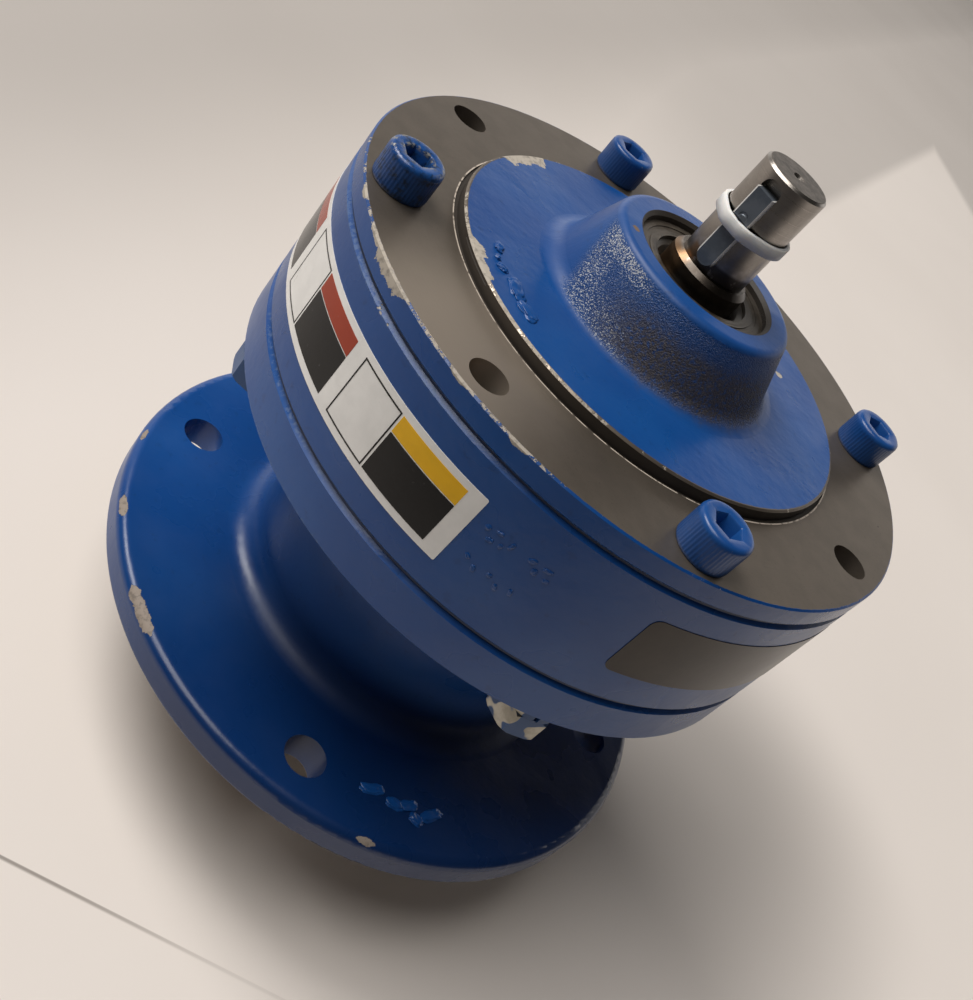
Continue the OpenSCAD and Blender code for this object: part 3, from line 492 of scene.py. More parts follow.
def cover_enamel():
    f = Finish("cover_enamel")
    r, z = f.radius(), f.z
    on_face = f.past(z, face_z, -0.10, -0.03)
    bare = cover_turned(f, r, z, on_face)
    chips = cover_chips(f, r, z)
    # A pale line along the seam: partly scuffs and partly a painted highlight.
    seam = f.both(f.past(z, face_z, -4.4, -4.8), f.mottle(900, 0.5, 0.62, 3, 0.7))
    flank = f.both(f.past(z, disc_top, 0.3, 1.3), f.past(z, boss_top, -0.7, -2.0))
    grit = f.both(flank, f.level(sector(f, -113, 62, 12, GRAIN_LEAN), 0.06, 1.0))
    enamel(f, bare, chips, f.times(seam, 0.4), grit, boss_dirt(f, r, z), boss_painted_glints(f, z, grit),
           # Painted reflection: the turned face is paler in a fan about one azimuth.
           bright=f.times(sector(f, -82, -70, 24), 0.75),
           dull=f.both(f.past(z, disc_top, 0.02, 0.3), sector(f, -118, 62, 6)))

    # Painted shade together with dirt: the bore at the seal and the groove round the disc are painted dark.
    seal_seat = f.both(f.past(r, 0, 18.5, 18.3), f.past(z, 0, 100, 101))
    groove = f.both(f.past(r, disc_radius, -0.25, -0.2), f.past(r, disc_radius, 1.05, 0.95),
                    f.past(z, disc_top, -0.4, -0.5))
    # Painted highlight: a pale, dull line on the face at the groove's outer edge.
    groove_edge_highlight = f.both(f.past(r, disc_radius, 0.98, 1.02), f.past(r, disc_radius, 1.4, 1.25),
                         f.mottle(500, 0.35, 0.5))
    dark = f.any_of(seal_seat, groove)
    colour = f.tint(f.both(groove_edge_highlight, on_face), f.fed("Base Color"), GROOVE_EDGE_HIGHLIGHT)
    colour = f.tint(flakes(f, MOUTH_STAINS), colour, STAIN)
    f.set(Base_Color=f.tint(dark, colour, DIRT_AND_PAINTED_SHADE), Roughness=f.level(dark, f.fed("Roughness"), 0.6))
    f.set(Metallic=f.both(f.fed("Metallic"), f.less(1.0, f.any_of(dark, groove_edge_highlight))))
    tool_marks = f.along(f.times(r, 2600.0), f.times(f.angle(), 3.0), 0.0)
    f.relief(f.grain(1.0, at=tool_marks), 0.05 * MM, f.times(bare, 0.35))
    return f.material


def housing_enamel():
    f = Finish("housing_enamel")
    bore = f.past(f.radius(), body_radius, -2, -2.2)
    edge = f.any_of(f.past(f.z, ring_bottom, 0.8, 0.5), f.past(f.z, ring_top, -1.3, -0.8))
    # The pale lines along the edges on the label side are partly scuffs and partly a painted highlight.
    worn = f.both(edge, sector(f, *LABEL_SIDE), f.mottle(900, 0.46, 0.58, 4, 0.7), 0.55)
    enamel(f, bore, f.both(edge, f.mottle(260, 0.70, 0.72)), worn)
    return f.material


def casing_enamel():
    f = Finish("casing_enamel")
    r, z = f.radius(), f.z
    neck_bore = f.both(f.past(r, 0, 39, 38.8), f.past(z, 0, 1, 1.5))
    inside = f.any_of(f.past(z, 0, 0.1, 0.02), neck_bore, f.past(z, 0, 74.2, 74.4))
    from_edge = f.distance(f.minus(r, flange_radius - 0.9 * MM), f.minus(z, flange_top - 0.4 * MM))
    rim = f.both(f.past(z, ring_bottom, -1.7, -1.2), f.past(z, ring_bottom, 1, 0))
    under_rim = f.both(f.past(r, body_radius, -0.5, -0.2), f.past(z, ring_bottom, -11.2, -11.6),
                       f.past(z, 0, 50, 51))
    # The pale lines along the edges on the label side are partly scuffs and partly a painted highlight.
    worn = f.both(f.any_of(rim, under_rim), sector(f, *LABEL_SIDE), f.mottle(800, 0.48, 0.6, 4, 0.7), 0.5)
    fillet = f.both(f.past(z, flange_top, 0.05, 0.3), f.past(z, 0, 30, 24), sector(f, -78, 60, 14))
    # Painted shade: the paint is a deeper blue on the front and low side of the flange and neck, where the
    # body shades them.
    painted_shade = f.both(sector(f, -58, 30, 72), f.past(z, 0, 26, 12), 0.92)
    enamel(f, inside, chip_runs(f, FLANGE_CHIPS, from_edge), worn, dull=fillet, painted_shade=painted_shade,
           undercoat=UNDERCOAT_BROWN)
    return f.material


def lump_enamel():
    f = Finish("lump_enamel")
    enamel(f)
    return f.material


def screw_enamel():
    """Darker, thinner paint on the screws. One head is worn more than the others and darker in patches,
    partly smeared paint and partly painted shade.
    """
    f = Finish("screw_enamel")
    head_top = face_z + HEAD_HEIGHT
    from_axis = f.radius(*screw_place(WORN_SCREW))
    worn_screw = f.past(from_axis, 0, 9, 7)
    scuff = f.grain(900, 4, 0.7)
    rim = f.both(f.past(f.z, head_top, -1.1, -0.3), f.rise(scuff, 0.66, 0.72), 0.8)
    worn_edges = f.any_of(f.both(f.past(from_axis, 0, 5.3, 5.7), sector(f, -124, -112, 5)),
                          f.past(from_axis, 0, 4.0, 3.6))
    worn_rim = f.both(f.past(f.z, head_top, -1.1, -0.2), worn_edges, f.rise(scuff, 0.48, 0.56), worn_screw)
    bare = f.any_of(rim, worn_rim)
    shank = f.past(f.z, face_z, 0, -0.3)
    colour = f.tint(f.mottle(90, 0.35, 0.7, rough=0.5), SCREW_BLUE, SCREW_BLUE_PALE)
    # Dark patches on the worn head: partly smeared paint, partly painted shade.
    colour = f.tint(f.both(worn_screw, f.mottle(500, 0.45, 0.65, 4, 0.7)), colour, SCREW_SMEAR_AND_SHADE)
    colour = f.tint(bare, colour, SCREW_RUBBED)
    colour = f.tint(shank, colour, SCREW_SHANK)
    f.set(Base_Color=colour, Roughness=f.level(bare, 0.30, 0.45))
    f.set(Metallic=f.times(f.any_of(bare, shank), 0.8))
    f.relief(f.grain(700, 3, 0.5), 0.1 * MM, 0.5)
    return f.material


# ---------------------------------------- steel, rubber and the small parts

GREASE_BLACK_AND_SHADE = (0.035, 0.026, 0.020)
LIT_GREASE_AMBER = (0.27, 0.155, 0.075)
OIL_FILM = (0.12, 0.098, 0.078)
SAWN = (0.24, 0.21, 0.185)
SAWN_DARK = (0.12, 0.105, 0.09)
KEY_BLUED = (0.125, 0.150, 0.185)
KEY_BLUED_PALE = (0.18, 0.205, 0.24)
KEY_RUBBED_AND_HIGHLIGHT = (0.78, 0.77, 0.75)
RUBBER = (0.054, 0.045, 0.036)
RUBBER_DUSTY = (0.088, 0.075, 0.061)
RUBBER_STREAK = (0.02, 0.018, 0.016)
RUBBER_GREASY = (0.016, 0.012, 0.009)
ZINC = (0.42, 0.395, 0.34)
ZINC_DULL = (0.27, 0.25, 0.205)
OVERSPRAY = (0.02, 0.08, 0.23)


def steel(name, colour, rough, streak=900.0):
    """Turned or ground steel, with fine lines round the main axis."""
    f = Finish(name)
    lines = f.grain(1.0, at=f.along(f.times(f.radius(), streak), f.times(f.z, streak), 0.0))
    shade = f.tint(f.mottle(180, 0.3, 0.7, 4), colour, darker(colour, 0.8))
    shade = f.tint(f.times(f.mottle(1400, 0.62, 0.7, 3, 0.7), 0.3), shade, darker(colour, 0.5))
    f.set(Base_Color=shade, Metallic=1.0)
    f.set(Roughness=f.level(f.rise(lines, 0.2, 0.8), rough * 0.8, rough * 1.3))
    f.relief(lines, 0.02 * MM, 0.35)
    return f


def shaft_steel():
    """The ground shaft: greasy at the seal, with painted shade and light on that grease, oily above it, and
    duller on the sawn tip.
    """
    f = steel("ground_shaft_steel", (0.41, 0.38, 0.35), 0.30, 3000.0)
    # Painted shade and light on the collar's grease: black on the side away from the lamps, amber towards
    # them, and dark patches over its top edge at the front.
    smear = f.both(sector(f, -100, 30, 14), f.past(f.z, boss_top, 5.5, 4.6), f.mottle(420, 0.30, 0.42))
    collar = f.any_of(f.past(f.z, boss_top, 2.2, 1.2), smear)
    grease = f.tint(sector(f, -140, -100, 22), GREASE_BLACK_AND_SHADE, LIT_GREASE_AMBER)
    oil = f.both(f.past(f.z, boss_top, 12, 4), f.mottle(130, 0.40, 0.62))
    tip = f.both(f.past(f.z, shaft_tip, -0.15, -0.05), f.past(f.radius(), 0, 7.6, 7.4))
    sawn = f.tint(f.mottle(420, 0.35, 0.65, 4, 0.7), SAWN, SAWN_DARK)
    colour = f.tint(f.times(oil, 0.65), f.fed("Base Color"), OIL_FILM)
    colour = f.tint(f.both(collar, f.level(f.grain(170), 0.65, 1.0)), colour, grease)
    f.set(Base_Color=f.tint(tip, colour, sawn))
    shine = f.level(f.any_of(oil, collar), f.fed("Roughness"), 0.36)
    f.set(Roughness=f.level(tip, shine, 0.42))
    return f.material


def key_steel():
    """Blued key stock, rubbed bright along its long edges, where a pale dull line is also painted as their
    highlight, with one small round dent.
    """
    f = Finish("blued_key_steel")
    cloud = f.grain(300)
    across = f.plus(f.times(f.x, -math.sin(KEY_AZIMUTH)), f.times(f.y, math.cos(KEY_AZIMUTH)))
    edge = f.past(f.calc("ABSOLUTE", across), 0, 2.08, 2.16)
    blued = f.tint(f.rise(cloud, 0.35, 0.65), KEY_BLUED, KEY_BLUED_PALE)
    f.set(Base_Color=f.tint(edge, blued, KEY_RUBBED_AND_HIGHLIGHT), Metallic=f.level(edge, 0.5, 0.2))
    f.set(Roughness=f.level(cloud, 0.25, 0.42))
    x, y = on_circle(KEY_AZIMUTH, 9 * MM)
    lip = f.spot((x, y, 149.3 * MM), 1.15 * MM, 0.2)
    hollow = f.spot((x, y, 148.8 * MM), 1.05 * MM, 0.2)
    f.relief(f.less(lip, hollow), -0.2 * MM, 1.0)
    f.relief(f.grain(900), 0.03 * MM, 0.4)
    return f.material


def seal_rubber():
    """Dusty seal rubber with moulded rings, greasy near the shaft on one side."""
    f = Finish("seal_rubber")
    r = f.radius()
    dusty = f.grain(350, 4, 0.65)
    colour = f.tint(f.rise(dusty, 0.35, 0.7), RUBBER, RUBBER_DUSTY)
    colour = f.tint(f.rise(f.grain(900, 4, 0.7, warp=1.5), 0.64, 0.70), colour, RUBBER_STREAK)
    grease = f.both(sector(f, -125, -25, 18), f.past(f.plus(r, f.times(dusty, 3 * MM)), 0, 15.6, 14.2))
    colour = f.tint(grease, colour, RUBBER_GREASY)
    f.set(Base_Color=colour, Roughness=f.level(dusty, 0.28, 0.5))
    rings = f.calc("SINE", f.times(r, 2 * math.pi / (1.1 * MM)))
    f.relief(rings, 0.04 * MM, 0.35)
    f.relief(f.grain(1200), 0.05 * MM, 0.4)
    return f.material


def zinc_plate():
    """Yellowed zinc on nuts and washers, with blue overspray."""
    f = Finish("zinc_plate")
    cloud = f.grain(260, 4)
    colour = f.tint(f.rise(cloud, 0.3, 0.7), ZINC, ZINC_DULL)
    spray = f.mottle(110, 0.56, 0.54, 2, 0.5)
    colour = f.tint(spray, colour, OVERSPRAY)
    f.set(Base_Color=colour, Metallic=f.level(spray, 0.9, 0.0), Roughness=f.level(cloud, 0.3, 0.5))
    f.relief(f.grain(1200), 0.05 * MM, 0.5)
    return f.material


def plain(name, colour, rough, bump=0.04 * MM, scale=900.0, spread=0.82):
    """A dull material with a soft cloud in its colour; spread is the darkest part of the cloud."""
    f = Finish(name)
    f.set(Base_Color=f.tint(f.mottle(220, 0.3, 0.7), colour, darker(colour, spread)))
    f.set(Roughness=f.level(f.grain(150, 2, 0.5), rough * 0.85, rough * 1.15))
    f.relief(f.grain(scale), bump, 0.5)
    return f


def nylon():
    f = plain("white_nylon", (0.86, 0.85, 0.83), 0.42, bump=0.08 * MM, scale=600.0, spread=0.94)
    f.set(Subsurface_Weight=0.6, Subsurface_Radius=(0.004, 0.0035, 0.003), Subsurface_Scale=0.5)
    return f.material


def film(name, colour, rough):
    """Printed label film with fine scratches."""
    f = plain(name, colour, rough, bump=0.03 * MM, scale=500.0, spread=0.93)
    scratch = f.times(f.mottle(700, 0.66, 0.72, 4, 0.7), 0.4)
    rubbed = tuple(0.6 * c + 0.1 for c in colour)
    f.set(Base_Color=f.tint(scratch, f.fed("Base Color"), rubbed), Specular_IOR_Level=0.35)
    return f.material


def nameplate_foil():
    f = Finish("nameplate_foil")
    cloud = f.grain(140)
    foil = f.tint(f.rise(cloud, 0.3, 0.7), (0.030, 0.024, 0.019), (0.041, 0.033, 0.026))
    f.set(Base_Color=foil, Metallic=0.5, Roughness=f.level(cloud, 0.26, 0.36))
    f.relief(f.grain(500, 3, 0.5), 0.03 * MM, 0.4)
    return f.material


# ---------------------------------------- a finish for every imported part

FINISHES = {
    "input_end_cover": cover_enamel(),
    "ring_gear_housing": housing_enamel(),
    "output_casing": casing_enamel(),
}
painted_gasket = plain("painted_gasket", (0.004, 0.030, 0.110), 0.45).material
FINISHES["output_gasket"] = FINISHES["input_gasket"] = painted_gasket
SLOT_FINISHES = {
    "ground_steel": shaft_steel(),
    "hardened_steel": steel("hardened_steel", (0.50, 0.51, 0.53), 0.2, 1500.0).material,
    "bearing_steel": steel("bearing_steel", (0.64, 0.65, 0.67), 0.12, 1200.0).material,
    "cage_brass": steel("cage_brass", (0.72, 0.50, 0.22), 0.3, 1500.0).material,
    "key_steel": key_steel(),
    "spring_steel": steel("blackened_spring_steel", (0.12, 0.12, 0.13), 0.4).material,
    "zinc_plate": zinc_plate(),
    "seal_rubber": seal_rubber(),
    "gasket_paper": plain("gasket_fibre", (0.10, 0.085, 0.07), 0.8).material,
    "nylon": nylon(),
    "blue_enamel": screw_enamel(),
}
slot_of = {part["node"]: part["material_slot"] for part in frame["record"]["subparts"]}
for name, node in frame["nodes"].items():
    node.data.materials.clear()
    node.data.materials.append(FINISHES.get(name) or SLOT_FINISHES[slot_of[name]])


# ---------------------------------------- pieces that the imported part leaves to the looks

def finished(name, bm, material, smooth, body="casing"):
    """Turns a bmesh into a piece that rides on a body. Edges sharper than smooth degrees stay sharp."""
    mesh = bpy.data.meshes.new(name)
    bm.to_mesh(mesh)
    bm.free()
    obj = bpy.data.objects.new(name, mesh)
    bpy.context.scene.collection.objects.link(obj)
    mesh.materials.append(material)
    mesh.shade_smooth()
    mesh.set_sharp_from_angle(angle=math.radians(smooth))
    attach(obj, body)
    return obj


def edges_among(bm, verts):
    members = set(verts)
    return [edge for edge in bm.edges if edge.verts[0] in members and edge.verts[1] in members]


def verts_of(geom):
    return [item for item in geom if isinstance(item, bmesh.types.BMVert)]


# ---------------------------------------- label and nameplate on the ring gear housing

# First, last, pitch and width are in degrees, and the first and last of a frame count from its block.
# Low, high and lift are in millimetres.
LABEL_FIRST, LABEL_LAST = -131.0, -53.9
LABEL_LOW, LABEL_HIGH = 82.3, 101.0
BLOCK_PITCH = 27.9
BLOCK_WIDTH = 14.1
NEAREST_BLOCK = -57.0
PANEL_LOW, PANEL_HIGH = 84.1, 94.7
BAR_LOW, BAR_HIGH = 94.95, 99.3
FRAME_FIRST, FRAME_LAST = -24.9, -14.5
FRAME_LOW, FRAME_HIGH = 84.0, 99.4
FRAME_LINE = 0.35 * MM
PRINT_LIFT = 0.13
PLATE_FIRST, PLATE_LAST = -23.4, 27.0
PLATE_LOW, PLATE_HIGH = 84.0, 101.0


def curved_plate(a0, a1, z0, z1, lift, corner, cuts):
    """A plate between two azimuths in degrees and two heights in millimetres, still flat and not yet on
    the body. It is cut across so that it can bend."""
    width, height = math.radians(a1 - a0) * body_radius, (z1 - z0) * MM
    bm = bmesh.new()
    bmesh.ops.create_cube(bm, size=1.0, matrix=Matrix.Diagonal((width, height, lift * MM, 1)))
    upright = [e for e in bm.edges if abs(e.verts[0].co.z - e.verts[1].co.z) > lift * MM / 2]
    if corner:
        bmesh.ops.bevel(bm, geom=upright, offset=corner * MM, segments=5, profile=0.5, affect="EDGES",
                        material=-1)
    for k in range(1, cuts):
        bmesh.ops.bisect_plane(bm, geom=bm.verts[:] + bm.edges[:] + bm.faces[:], dist=1e-7,
                               plane_co=(-width / 2 + width * k / cuts, 0, 0), plane_no=(1, 0, 0))
    return bm


def lay_on_body(bm, a0, a1, z0, z1, lift):
    """Bends a flat plate, x along the body, y up and z outwards, round the main axis."""
    bmesh.ops.translate(bm, verts=bm.verts, vec=(0, (z0 + z1) / 2 * MM, lift / 2 * MM))
    middle = math.radians((a0 + a1) / 2)
    radius = body_radius + 0.01 * MM
    for vert in bm.verts:
        x, y = on_circle(middle + vert.co.x / radius, radius + vert.co.z)
        vert.co = Vector((x, y, vert.co.y))


def label_patch(name, a0, a1, z0, z1, lift, corner, material):
    bm = curved_plate(a0, a1, z0, z1, lift, corner, cuts=max(2, int((a1 - a0) / 2)))
    lay_on_body(bm, a0, a1, z0, z1, lift)
    finished(name, bm, material, 30)


def label_frame(name, a0, a1, ink):
    """A thin printed frame round a bare white field."""
    bm = curved_plate(a0, a1, FRAME_LOW, FRAME_HIGH, PRINT_LIFT, 0, cuts=8)
    flat = [face for face in bm.faces if abs(face.normal.z) > 0.9]
    bmesh.ops.inset_region(bm, faces=flat, thickness=FRAME_LINE, use_even_offset=True)
    bmesh.ops.delete(bm, geom=flat, context="FACES")
    bmesh.ops.bridge_loops(bm, edges=[e for e in bm.edges if e.is_boundary])
    lay_on_body(bm, a0, a1, FRAME_LOW, FRAME_HIGH, PRINT_LIFT)
    finished(name, bm, ink, 30)


def dress_label():
    """A white strip with three blocks, each a coloured bar over a black panel, and frames between them.
    All of it is blank."""
    white = film("label_white", (0.92, 0.91, 0.89), 0.30)
    ink = film("label_black", (0.004, 0.0035, 0.0035), 0.20)
    orange = film("label_orange", (0.38, 0.044, 0.014), 0.24)
    yellow = film("label_yellow", (0.93, 0.52, 0.013), 0.24)
    label_patch("label_strip", LABEL_FIRST, LABEL_LAST, LABEL_LOW, LABEL_HIGH, 0.09, 0.4, white)
    for k, (place, colour) in enumerate((("near", yellow), ("middle", orange), ("far", orange))):
        last = NEAREST_BLOCK - BLOCK_PITCH * k
        first = last - BLOCK_WIDTH
        label_patch(f"label_bar_{place}", first, last, BAR_LOW, BAR_HIGH, PRINT_LIFT, 0.1, colour)
        label_patch(f"label_panel_{place}", first, last, PANEL_LOW, PANEL_HIGH, PRINT_LIFT, 0.1, ink)
        if place != "far":
            label_frame(f"label_frame_{place}", last + FRAME_FIRST, last + FRAME_LAST, ink)


def dress_nameplate():
    foil = nameplate_foil()
    label_patch("nameplate", PLATE_FIRST, PLATE_LAST, PLATE_LOW, PLATE_HIGH, 0.12, 2.2, foil)


# ---------------------------------------- lumps on the castings

# On the disc: x, y, length and width in millimetres, and turn in degrees.
DISC_LUMPS = ((1.8, -45.1, 6.4, 3.8, -14), (8.0, -45.4, 6.0, 3.6, 8), (-3.9, -46.3, 3.0, 2.2, 30),
              (-10.4, -43.8, 3.6, 2.4, -30), (-6.9, -46.0, 1.8, 1.4, 0))
# On the housing: azimuth in degrees and height in millimetres.
HOUSING_LUMPS = ((-51.5, 96.6), (-50.2, 94.6), (-49.6, 97.4), (-48.4, 95.2), (-47.2, 96.8), (-43.6, 97.2),
                 (-42.4, 95.4), (-41.0, 97.4), (-40.2, 95.2), (-50.8, 88.6), (-49.0, 87.2), (-46.6, 88.4),
                 (-44.8, 87.0), (-42.6, 88.2))
# On the flange: azimuth in degrees, radius and length in millimetres, and turn in degrees.
FLANGE_LUMPS = ((-29.5, 65.4, 6.5, 75), (-24.0, 67.0, 5.0, 60), (-20.8, 66.4, 5.5, 85),
                (-19.0, 69.4, 4.0, 40), (-15.4, 67.6, 7.0, 100))
UP = Vector((0, 0, 1))


def cast_lumps(name, lumps, paint):
    """Small rounded lumps on a casting, as the sand mould leaves them. Each is a centre, the way that it
    lies, the way that it stands out, and its length, width and height in millimetres."""
    bm = bmesh.new()
    for centre, direction, out, length, width, height in lumps:
        across = out.cross(direction).normalized()
        along = across.cross(out).normalized()
        axes = (along * length * MM / 2, across * width * MM / 2, out * height * MM)
        turn = Matrix(axes).transposed()
        for vert in bmesh.ops.create_icosphere(bm, subdivisions=4, radius=1.0)["verts"]:
            blunt = Vector([math.copysign(abs(c) ** 0.72, c) for c in vert.co])
            blunt *= 1 + 0.30 * noise.noise(vert.co * 2.3 + centre * 4000)
            vert.co = centre + turn @ blunt
    finished(name, bm, paint, 60)


def level_way(degrees):
    return Vector((*on_circle(math.radians(degrees), 1), 0))


def dress_castings():
    paint = lump_enamel()
    on_disc = [(Vector((x * MM, y * MM, disc_top - 0.2 * MM)), level_way(turn), UP, length, width, 0.8)
               for x, y, length, width, turn in DISC_LUMPS]
    cast_lumps("cast_lumps_cover", on_disc, paint)
    rng = random.Random(7)
    on_housing = []
    for azimuth, z in HOUSING_LUMPS:
        out = level_way(azimuth)
        turn = math.radians(rng.uniform(0, 180))
        way = level_way(azimuth + 90) * math.cos(turn) + UP * math.sin(turn)
        centre = out * (body_radius - 0.05 * MM) + UP * z * MM
        on_housing.append((centre, way, out, rng.uniform(1.2, 2.2), rng.uniform(0.8, 1.3), 0.25))
    cast_lumps("cast_lumps_housing", on_housing, paint)
    on_flange = []
    for azimuth, r, length, turn in FLANGE_LUMPS:
        centre = level_way(azimuth) * r * MM + UP * (flange_top - 0.15 * MM)
        on_flange.append((centre, level_way(turn), UP, length, 3.0, 0.7))
    cast_lumps("cast_lumps_flange", on_flange, paint)


# ---------------------------------------- cap screws and the nylon ring

KNURLS = 48
SCREW_STEPS = KNURLS * 4
KNURL_DEPTH = 0.12 * MM
SOCKET_RADIUS = 3.0 * MM / math.cos(math.radians(30))
SOCKET_DEPTH = 4.0 * MM
SHANK_RADIUS = 3.95 * MM
SHANK_LENGTH = 60 * MM


def section_radius(shape, radius, k):
    """How far the section of a screw head reaches at step k: round, knurled or hexagonal."""
    if shape == "knurl":
        return radius - KNURL_DEPTH * (0.5 - 0.5 * math.cos(2 * math.pi * k / 4))
    if shape == "hex":
        azimuth = 2 * math.pi * k / SCREW_STEPS
        return radius * math.cos(math.pi / 6) / math.cos(azimuth % (math.pi / 3) - math.pi / 6)
    return radius


def screw_section(bm, shape, radius, z):
    made = bmesh.ops.create_circle(bm, segments=SCREW_STEPS, radius=1.0, cap_ends=False)["verts"]
    for k, vert in enumerate(made):
        x, y = on_circle(2 * math.pi * k / SCREW_STEPS, section_radius(shape, radius, k))
        vert.co = Vector((x, y, z))
    return edges_among(bm, made)


def cap_screws():
    """Four painted socket cap screws with knurled heads."""
    bm = bmesh.new()
    top = HEAD_HEIGHT
    rings = [screw_section(bm, *ring) for ring in (
        ("round", HEAD_RADIUS - 0.35 * MM, 0.0),
        ("round", HEAD_RADIUS - 0.1 * MM, 0.35 * MM),
        ("knurl", HEAD_RADIUS, 0.8 * MM),
        ("knurl", HEAD_RADIUS, top - 1.7 * MM),
        ("round", HEAD_RADIUS - 0.02 * MM, top - 1.1 * MM),
        ("round", HEAD_RADIUS - 0.22 * MM, top - 0.45 * MM),
        ("round", HEAD_RADIUS - 0.7 * MM, top - 0.08 * MM),
        ("round", HEAD_RADIUS - 1.15 * MM, top),
        ("round", SOCKET_RADIUS + 0.75 * MM, top - 0.02 * MM),
        ("hex", SOCKET_RADIUS + 0.30 * MM, top - 0.2 * MM),
        ("hex", SOCKET_RADIUS, top - 0.6 * MM),
        ("hex", SOCKET_RADIUS, top - SOCKET_DEPTH),
    )]
    for lower, upper in zip(rings, rings[1:]):
        bmesh.ops.bridge_loops(bm, edges=lower + upper)
    bmesh.ops.contextual_create(bm, geom=rings[-1])
    shank = bmesh.ops.create_circle(bm, segments=SCREW_STEPS, radius=SHANK_RADIUS, cap_ends=False)["verts"]
    neck = edges_among(bm, shank)
    bmesh.ops.bridge_loops(bm, edges=rings[0] + neck)
    drawn = bmesh.ops.extrude_edge_only(bm, edges=neck)["geom"]
    bmesh.ops.translate(bm, verts=verts_of(drawn), vec=(0, 0, -SHANK_LENGTH))
    bmesh.ops.contextual_create(bm, geom=[item for item in drawn if isinstance(item, bmesh.types.BMEdge)])
    bmesh.ops.recalc_face_normals(bm, faces=bm.faces)
    one = bm.verts[:] + bm.edges[:] + bm.faces[:]
    screws = [one] + [bmesh.ops.duplicate(bm, geom=one)["geom"] for _ in SCREW_ANGLES[1:]]
    for degrees, twist, geom in zip(SCREW_ANGLES, SCREW_TWISTS, screws):
        verts = verts_of(geom)
        turn = Matrix.Rotation(math.radians(twist), 3, "Z")
        bmesh.ops.rotate(bm, verts=verts, cent=(0, 0, 0), matrix=turn)
        bmesh.ops.translate(bm, verts=verts, vec=(*screw_place(degrees), face_z))
    piece = finished("cap_screws", bm, SLOT_FINISHES["blue_enamel"], 38)
    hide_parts("casing_screws")


BAND_INNER = 8.1 * MM
BAND_THICK = 1.1 * MM
BAND_STEPS = 240
OVER_KEY = 9.25 * MM
KEY_CORNER = math.radians(15.6)
BAND_LANDS = KEY_CORNER + math.acos(BAND_INNER * math.cos(KEY_CORNER) / OVER_KEY)


def taut(away):
    """The inside of a band pulled straight over the key's top and corner and then down to the shaft."""
    if away < KEY_CORNER:
        return OVER_KEY / math.cos(away)
    return BAND_INNER / math.cos(max(0.0, BAND_LANDS - away))


def eased(away):
    """The same line without its kinks: the mean over nine degrees to either side."""
    return sum(taut(abs(away + math.radians(3 * k))) for k in range(-3, 4)) / 7


def nylon_ring():
    """The band round shaft and key, drawn smoothly over the key's corners."""
    low, high = (corner.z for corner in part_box("key_retaining_ring"))
    bm = bmesh.new()
    loops = []
    for out, z in ((0, low + 0.2 * MM), (0.2 * MM, low),
                   (BAND_THICK - 0.25 * MM, low), (BAND_THICK, low + 0.25 * MM),
                   (BAND_THICK, high - 0.25 * MM), (BAND_THICK - 0.25 * MM, high),
                   (0.2 * MM, high), (0, high - 0.2 * MM)):
        ring = bmesh.ops.create_circle(bm, segments=BAND_STEPS, radius=1.0, cap_ends=False)["verts"]
        for k, vert in enumerate(ring):
            turn = 2 * math.pi * k / BAND_STEPS
            away = abs((turn + math.pi) % (2 * math.pi) - math.pi)
            vert.co = Vector((*on_circle(KEY_AZIMUTH + turn, out + eased(away)), z))
        loops.append(edges_among(bm, ring))
    for first, second in zip(loops, loops[1:] + loops[:1]):
        bmesh.ops.bridge_loops(bm, edges=first + second)
    bmesh.ops.recalc_face_normals(bm, faces=bm.faces)
    piece = finished("nylon_ring", bm, SLOT_FINISHES["nylon"], 50, "input_shaft_group")
    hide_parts("key_retaining_ring")


# ---------------------------------------- floor and room

PAPER = (0.86, 0.80, 0.755)
PAPER_SHADED = (0.83, 0.77, 0.725)
PAPER_EDGE = (0.20, 0.17, 0.15)
SHADE_TOWARDS_CAMERA = (0.08, 0.073, 0.067)
BLACK = (0.0, 0.0, 0.0)
WALL_WHITE = (1.0, 0.955, 0.91, 1)


def floor_paper():
    """A white sheet on a greyer table, with painted shade: a grey spot beside the part as its shadow, a
    darkening far from it and a dark stretch towards the camera.
    """
    f = Finish("floor_paper")
    # Directions on the floor, as the camera sees them. The camera is rolled, so that +y runs to its right.
    up_left, right = (-0.875, -0.487), (0.386, 0.923)
    to_camera, to_sheet_edge = (0.585, -0.811), (0.81, -0.59)

    def beyond(way, start, end):
        """0 at start and 1 at end, in metres along a direction on the floor."""
        return f.rise(f.plus(f.times(f.x, way[0]), f.times(f.y, way[1])), start, end)

    sheet = f.tint(f.mottle(5.0, 0.3, 0.7, rough=0.5), PAPER, PAPER_SHADED)
    table = f.both(beyond(up_left, 0.050, 0.066), beyond((0.0, 1.0), 0.15, 0.60))
    past_sheet = beyond(right, 0.72, 0.74)
    shade = f.times(f.any_of(table, past_sheet), 0.29)
    # Painted shade: the floor darkens far from the part, as the light falls off.
    shade = f.any_of(f.times(beyond(up_left, 0.09, 0.27), 0.38), shade)
    # Painted shadow: a grey spot beside the part.
    beside = f.radius(0.050, 0.150)
    painted_shadow_spot = f.plus(f.times(f.rise(beside, 0.110, 0.012), 0.45), f.times(f.rise(beside, 0.30, 0.05), 0.06))
    colour = f.tint(f.plus(shade, painted_shadow_spot), sheet, BLACK)
    edge = f.both(beyond(to_sheet_edge, 0.0953, 0.0957), beyond(to_sheet_edge, 0.0968, 0.0960))
    edge = f.both(edge, f.level(beyond((0.0, -1.0), 0.045, 0.095), 0.15, 0.75))
    colour = f.tint(edge, colour, PAPER_EDGE)
    # Painted shade: the floor turns dark towards the camera.
    colour = f.tint(beyond(to_camera, 0.145, 0.34), colour, SHADE_TOWARDS_CAMERA)
    f.set(Base_Color=colour, Roughness=0.8)
    f.relief(f.grain(160, 3, 0.5), 0.2 * MM, 0.15)
    return f.material


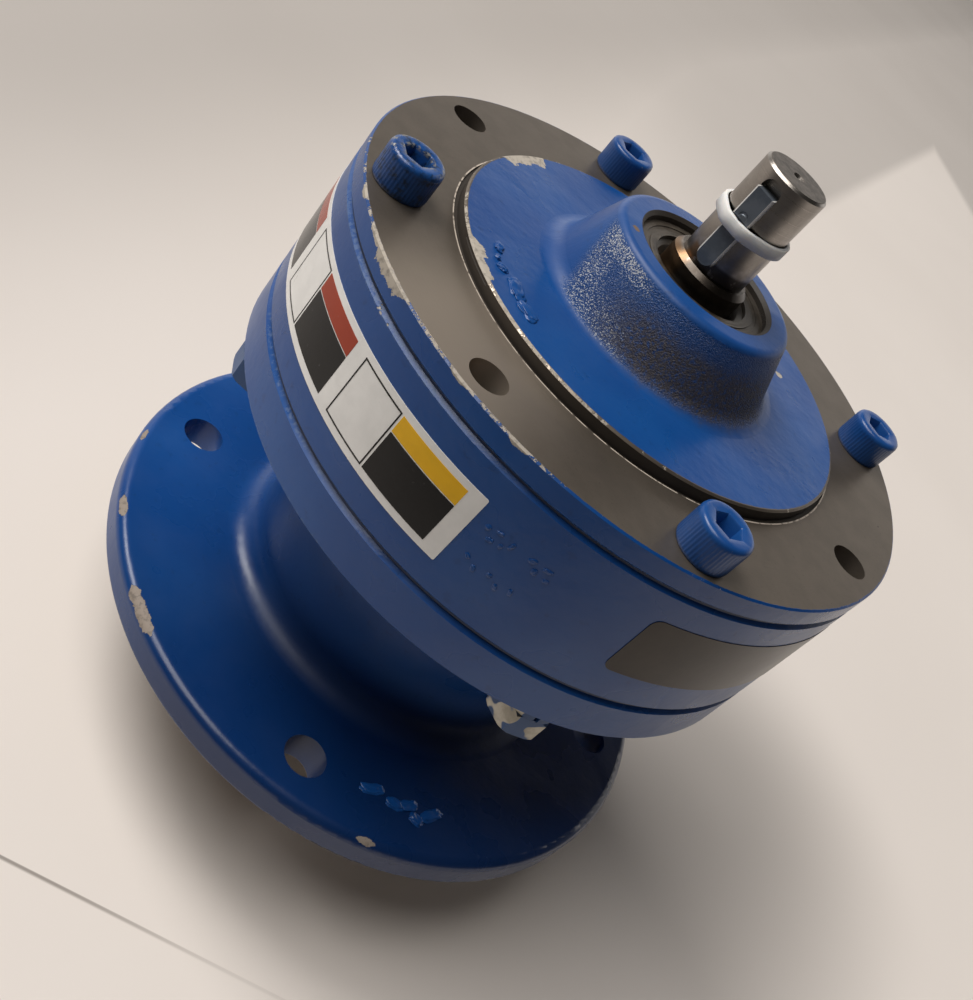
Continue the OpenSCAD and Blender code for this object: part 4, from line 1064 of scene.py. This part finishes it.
def stage():
    bm = bmesh.new()
    bmesh.ops.create_circle(bm, cap_ends=True, segments=96, radius=9.0)
    bmesh.ops.translate(bm, verts=bm.verts, vec=(0, 0, cad_bounds[0][2] - 0.3 * MM))
    mesh = bpy.data.meshes.new("floor")
    bm.to_mesh(mesh)
    bm.free()
    floor = bpy.data.objects.new("floor", mesh)
    bpy.context.scene.collection.objects.link(floor)
    mesh.materials.append(floor_paper())


def room():
    """A dim room with a pale wall low down behind the part."""
    world = bpy.data.worlds.new("room")
    bpy.context.scene.world = world
    world.use_nodes = True
    tree = world.node_tree
    sky = tree.nodes["Background"]
    coordinate = tree.nodes.new("ShaderNodeTexCoord")

    def towards(direction, start, end):
        """0 at start and 1 at end, by how far a view leans towards a direction."""
        dot = tree.nodes.new("ShaderNodeVectorMath")
        dot.operation = "DOT_PRODUCT"
        dot.inputs[1].default_value = direction
        tree.links.new(coordinate.outputs["Generated"], dot.inputs[0])
        ramp = tree.nodes.new("ShaderNodeMapRange")
        ramp.interpolation_type = "SMOOTHSTEP"
        falls = end < start
        ramp.inputs["From Min"].default_value = min(start, end)
        ramp.inputs["From Max"].default_value = max(start, end)
        ramp.inputs["To Min"].default_value = 1.0 if falls else 0.0
        ramp.inputs["To Max"].default_value = 0.0 if falls else 1.0
        tree.links.new(dot.outputs["Value"], ramp.inputs["Value"])
        return ramp.outputs["Result"]

    def combine(operation, a, b):
        node = tree.nodes.new("ShaderNodeMath")
        node.operation = operation
        tree.links.new(a, node.inputs[0])
        if isinstance(b, float):
            node.inputs[1].default_value = b
        else:
            tree.links.new(b, node.inputs[1])
        return node.outputs[0]

    low_wall = combine("MULTIPLY", towards((0, 0, 1), 0.42, 0.34), towards((-0.74, 0.67, 0), 0.2, 0.75))
    strength = combine("ADD", combine("MULTIPLY", low_wall, 0.85), 0.03)
    sky.inputs["Color"].default_value = WALL_WHITE
    tree.links.new(strength, sky.inputs["Strength"])


dress_label()
dress_nameplate()
dress_castings()
cap_screws()
nylon_ring()
stage()
room()
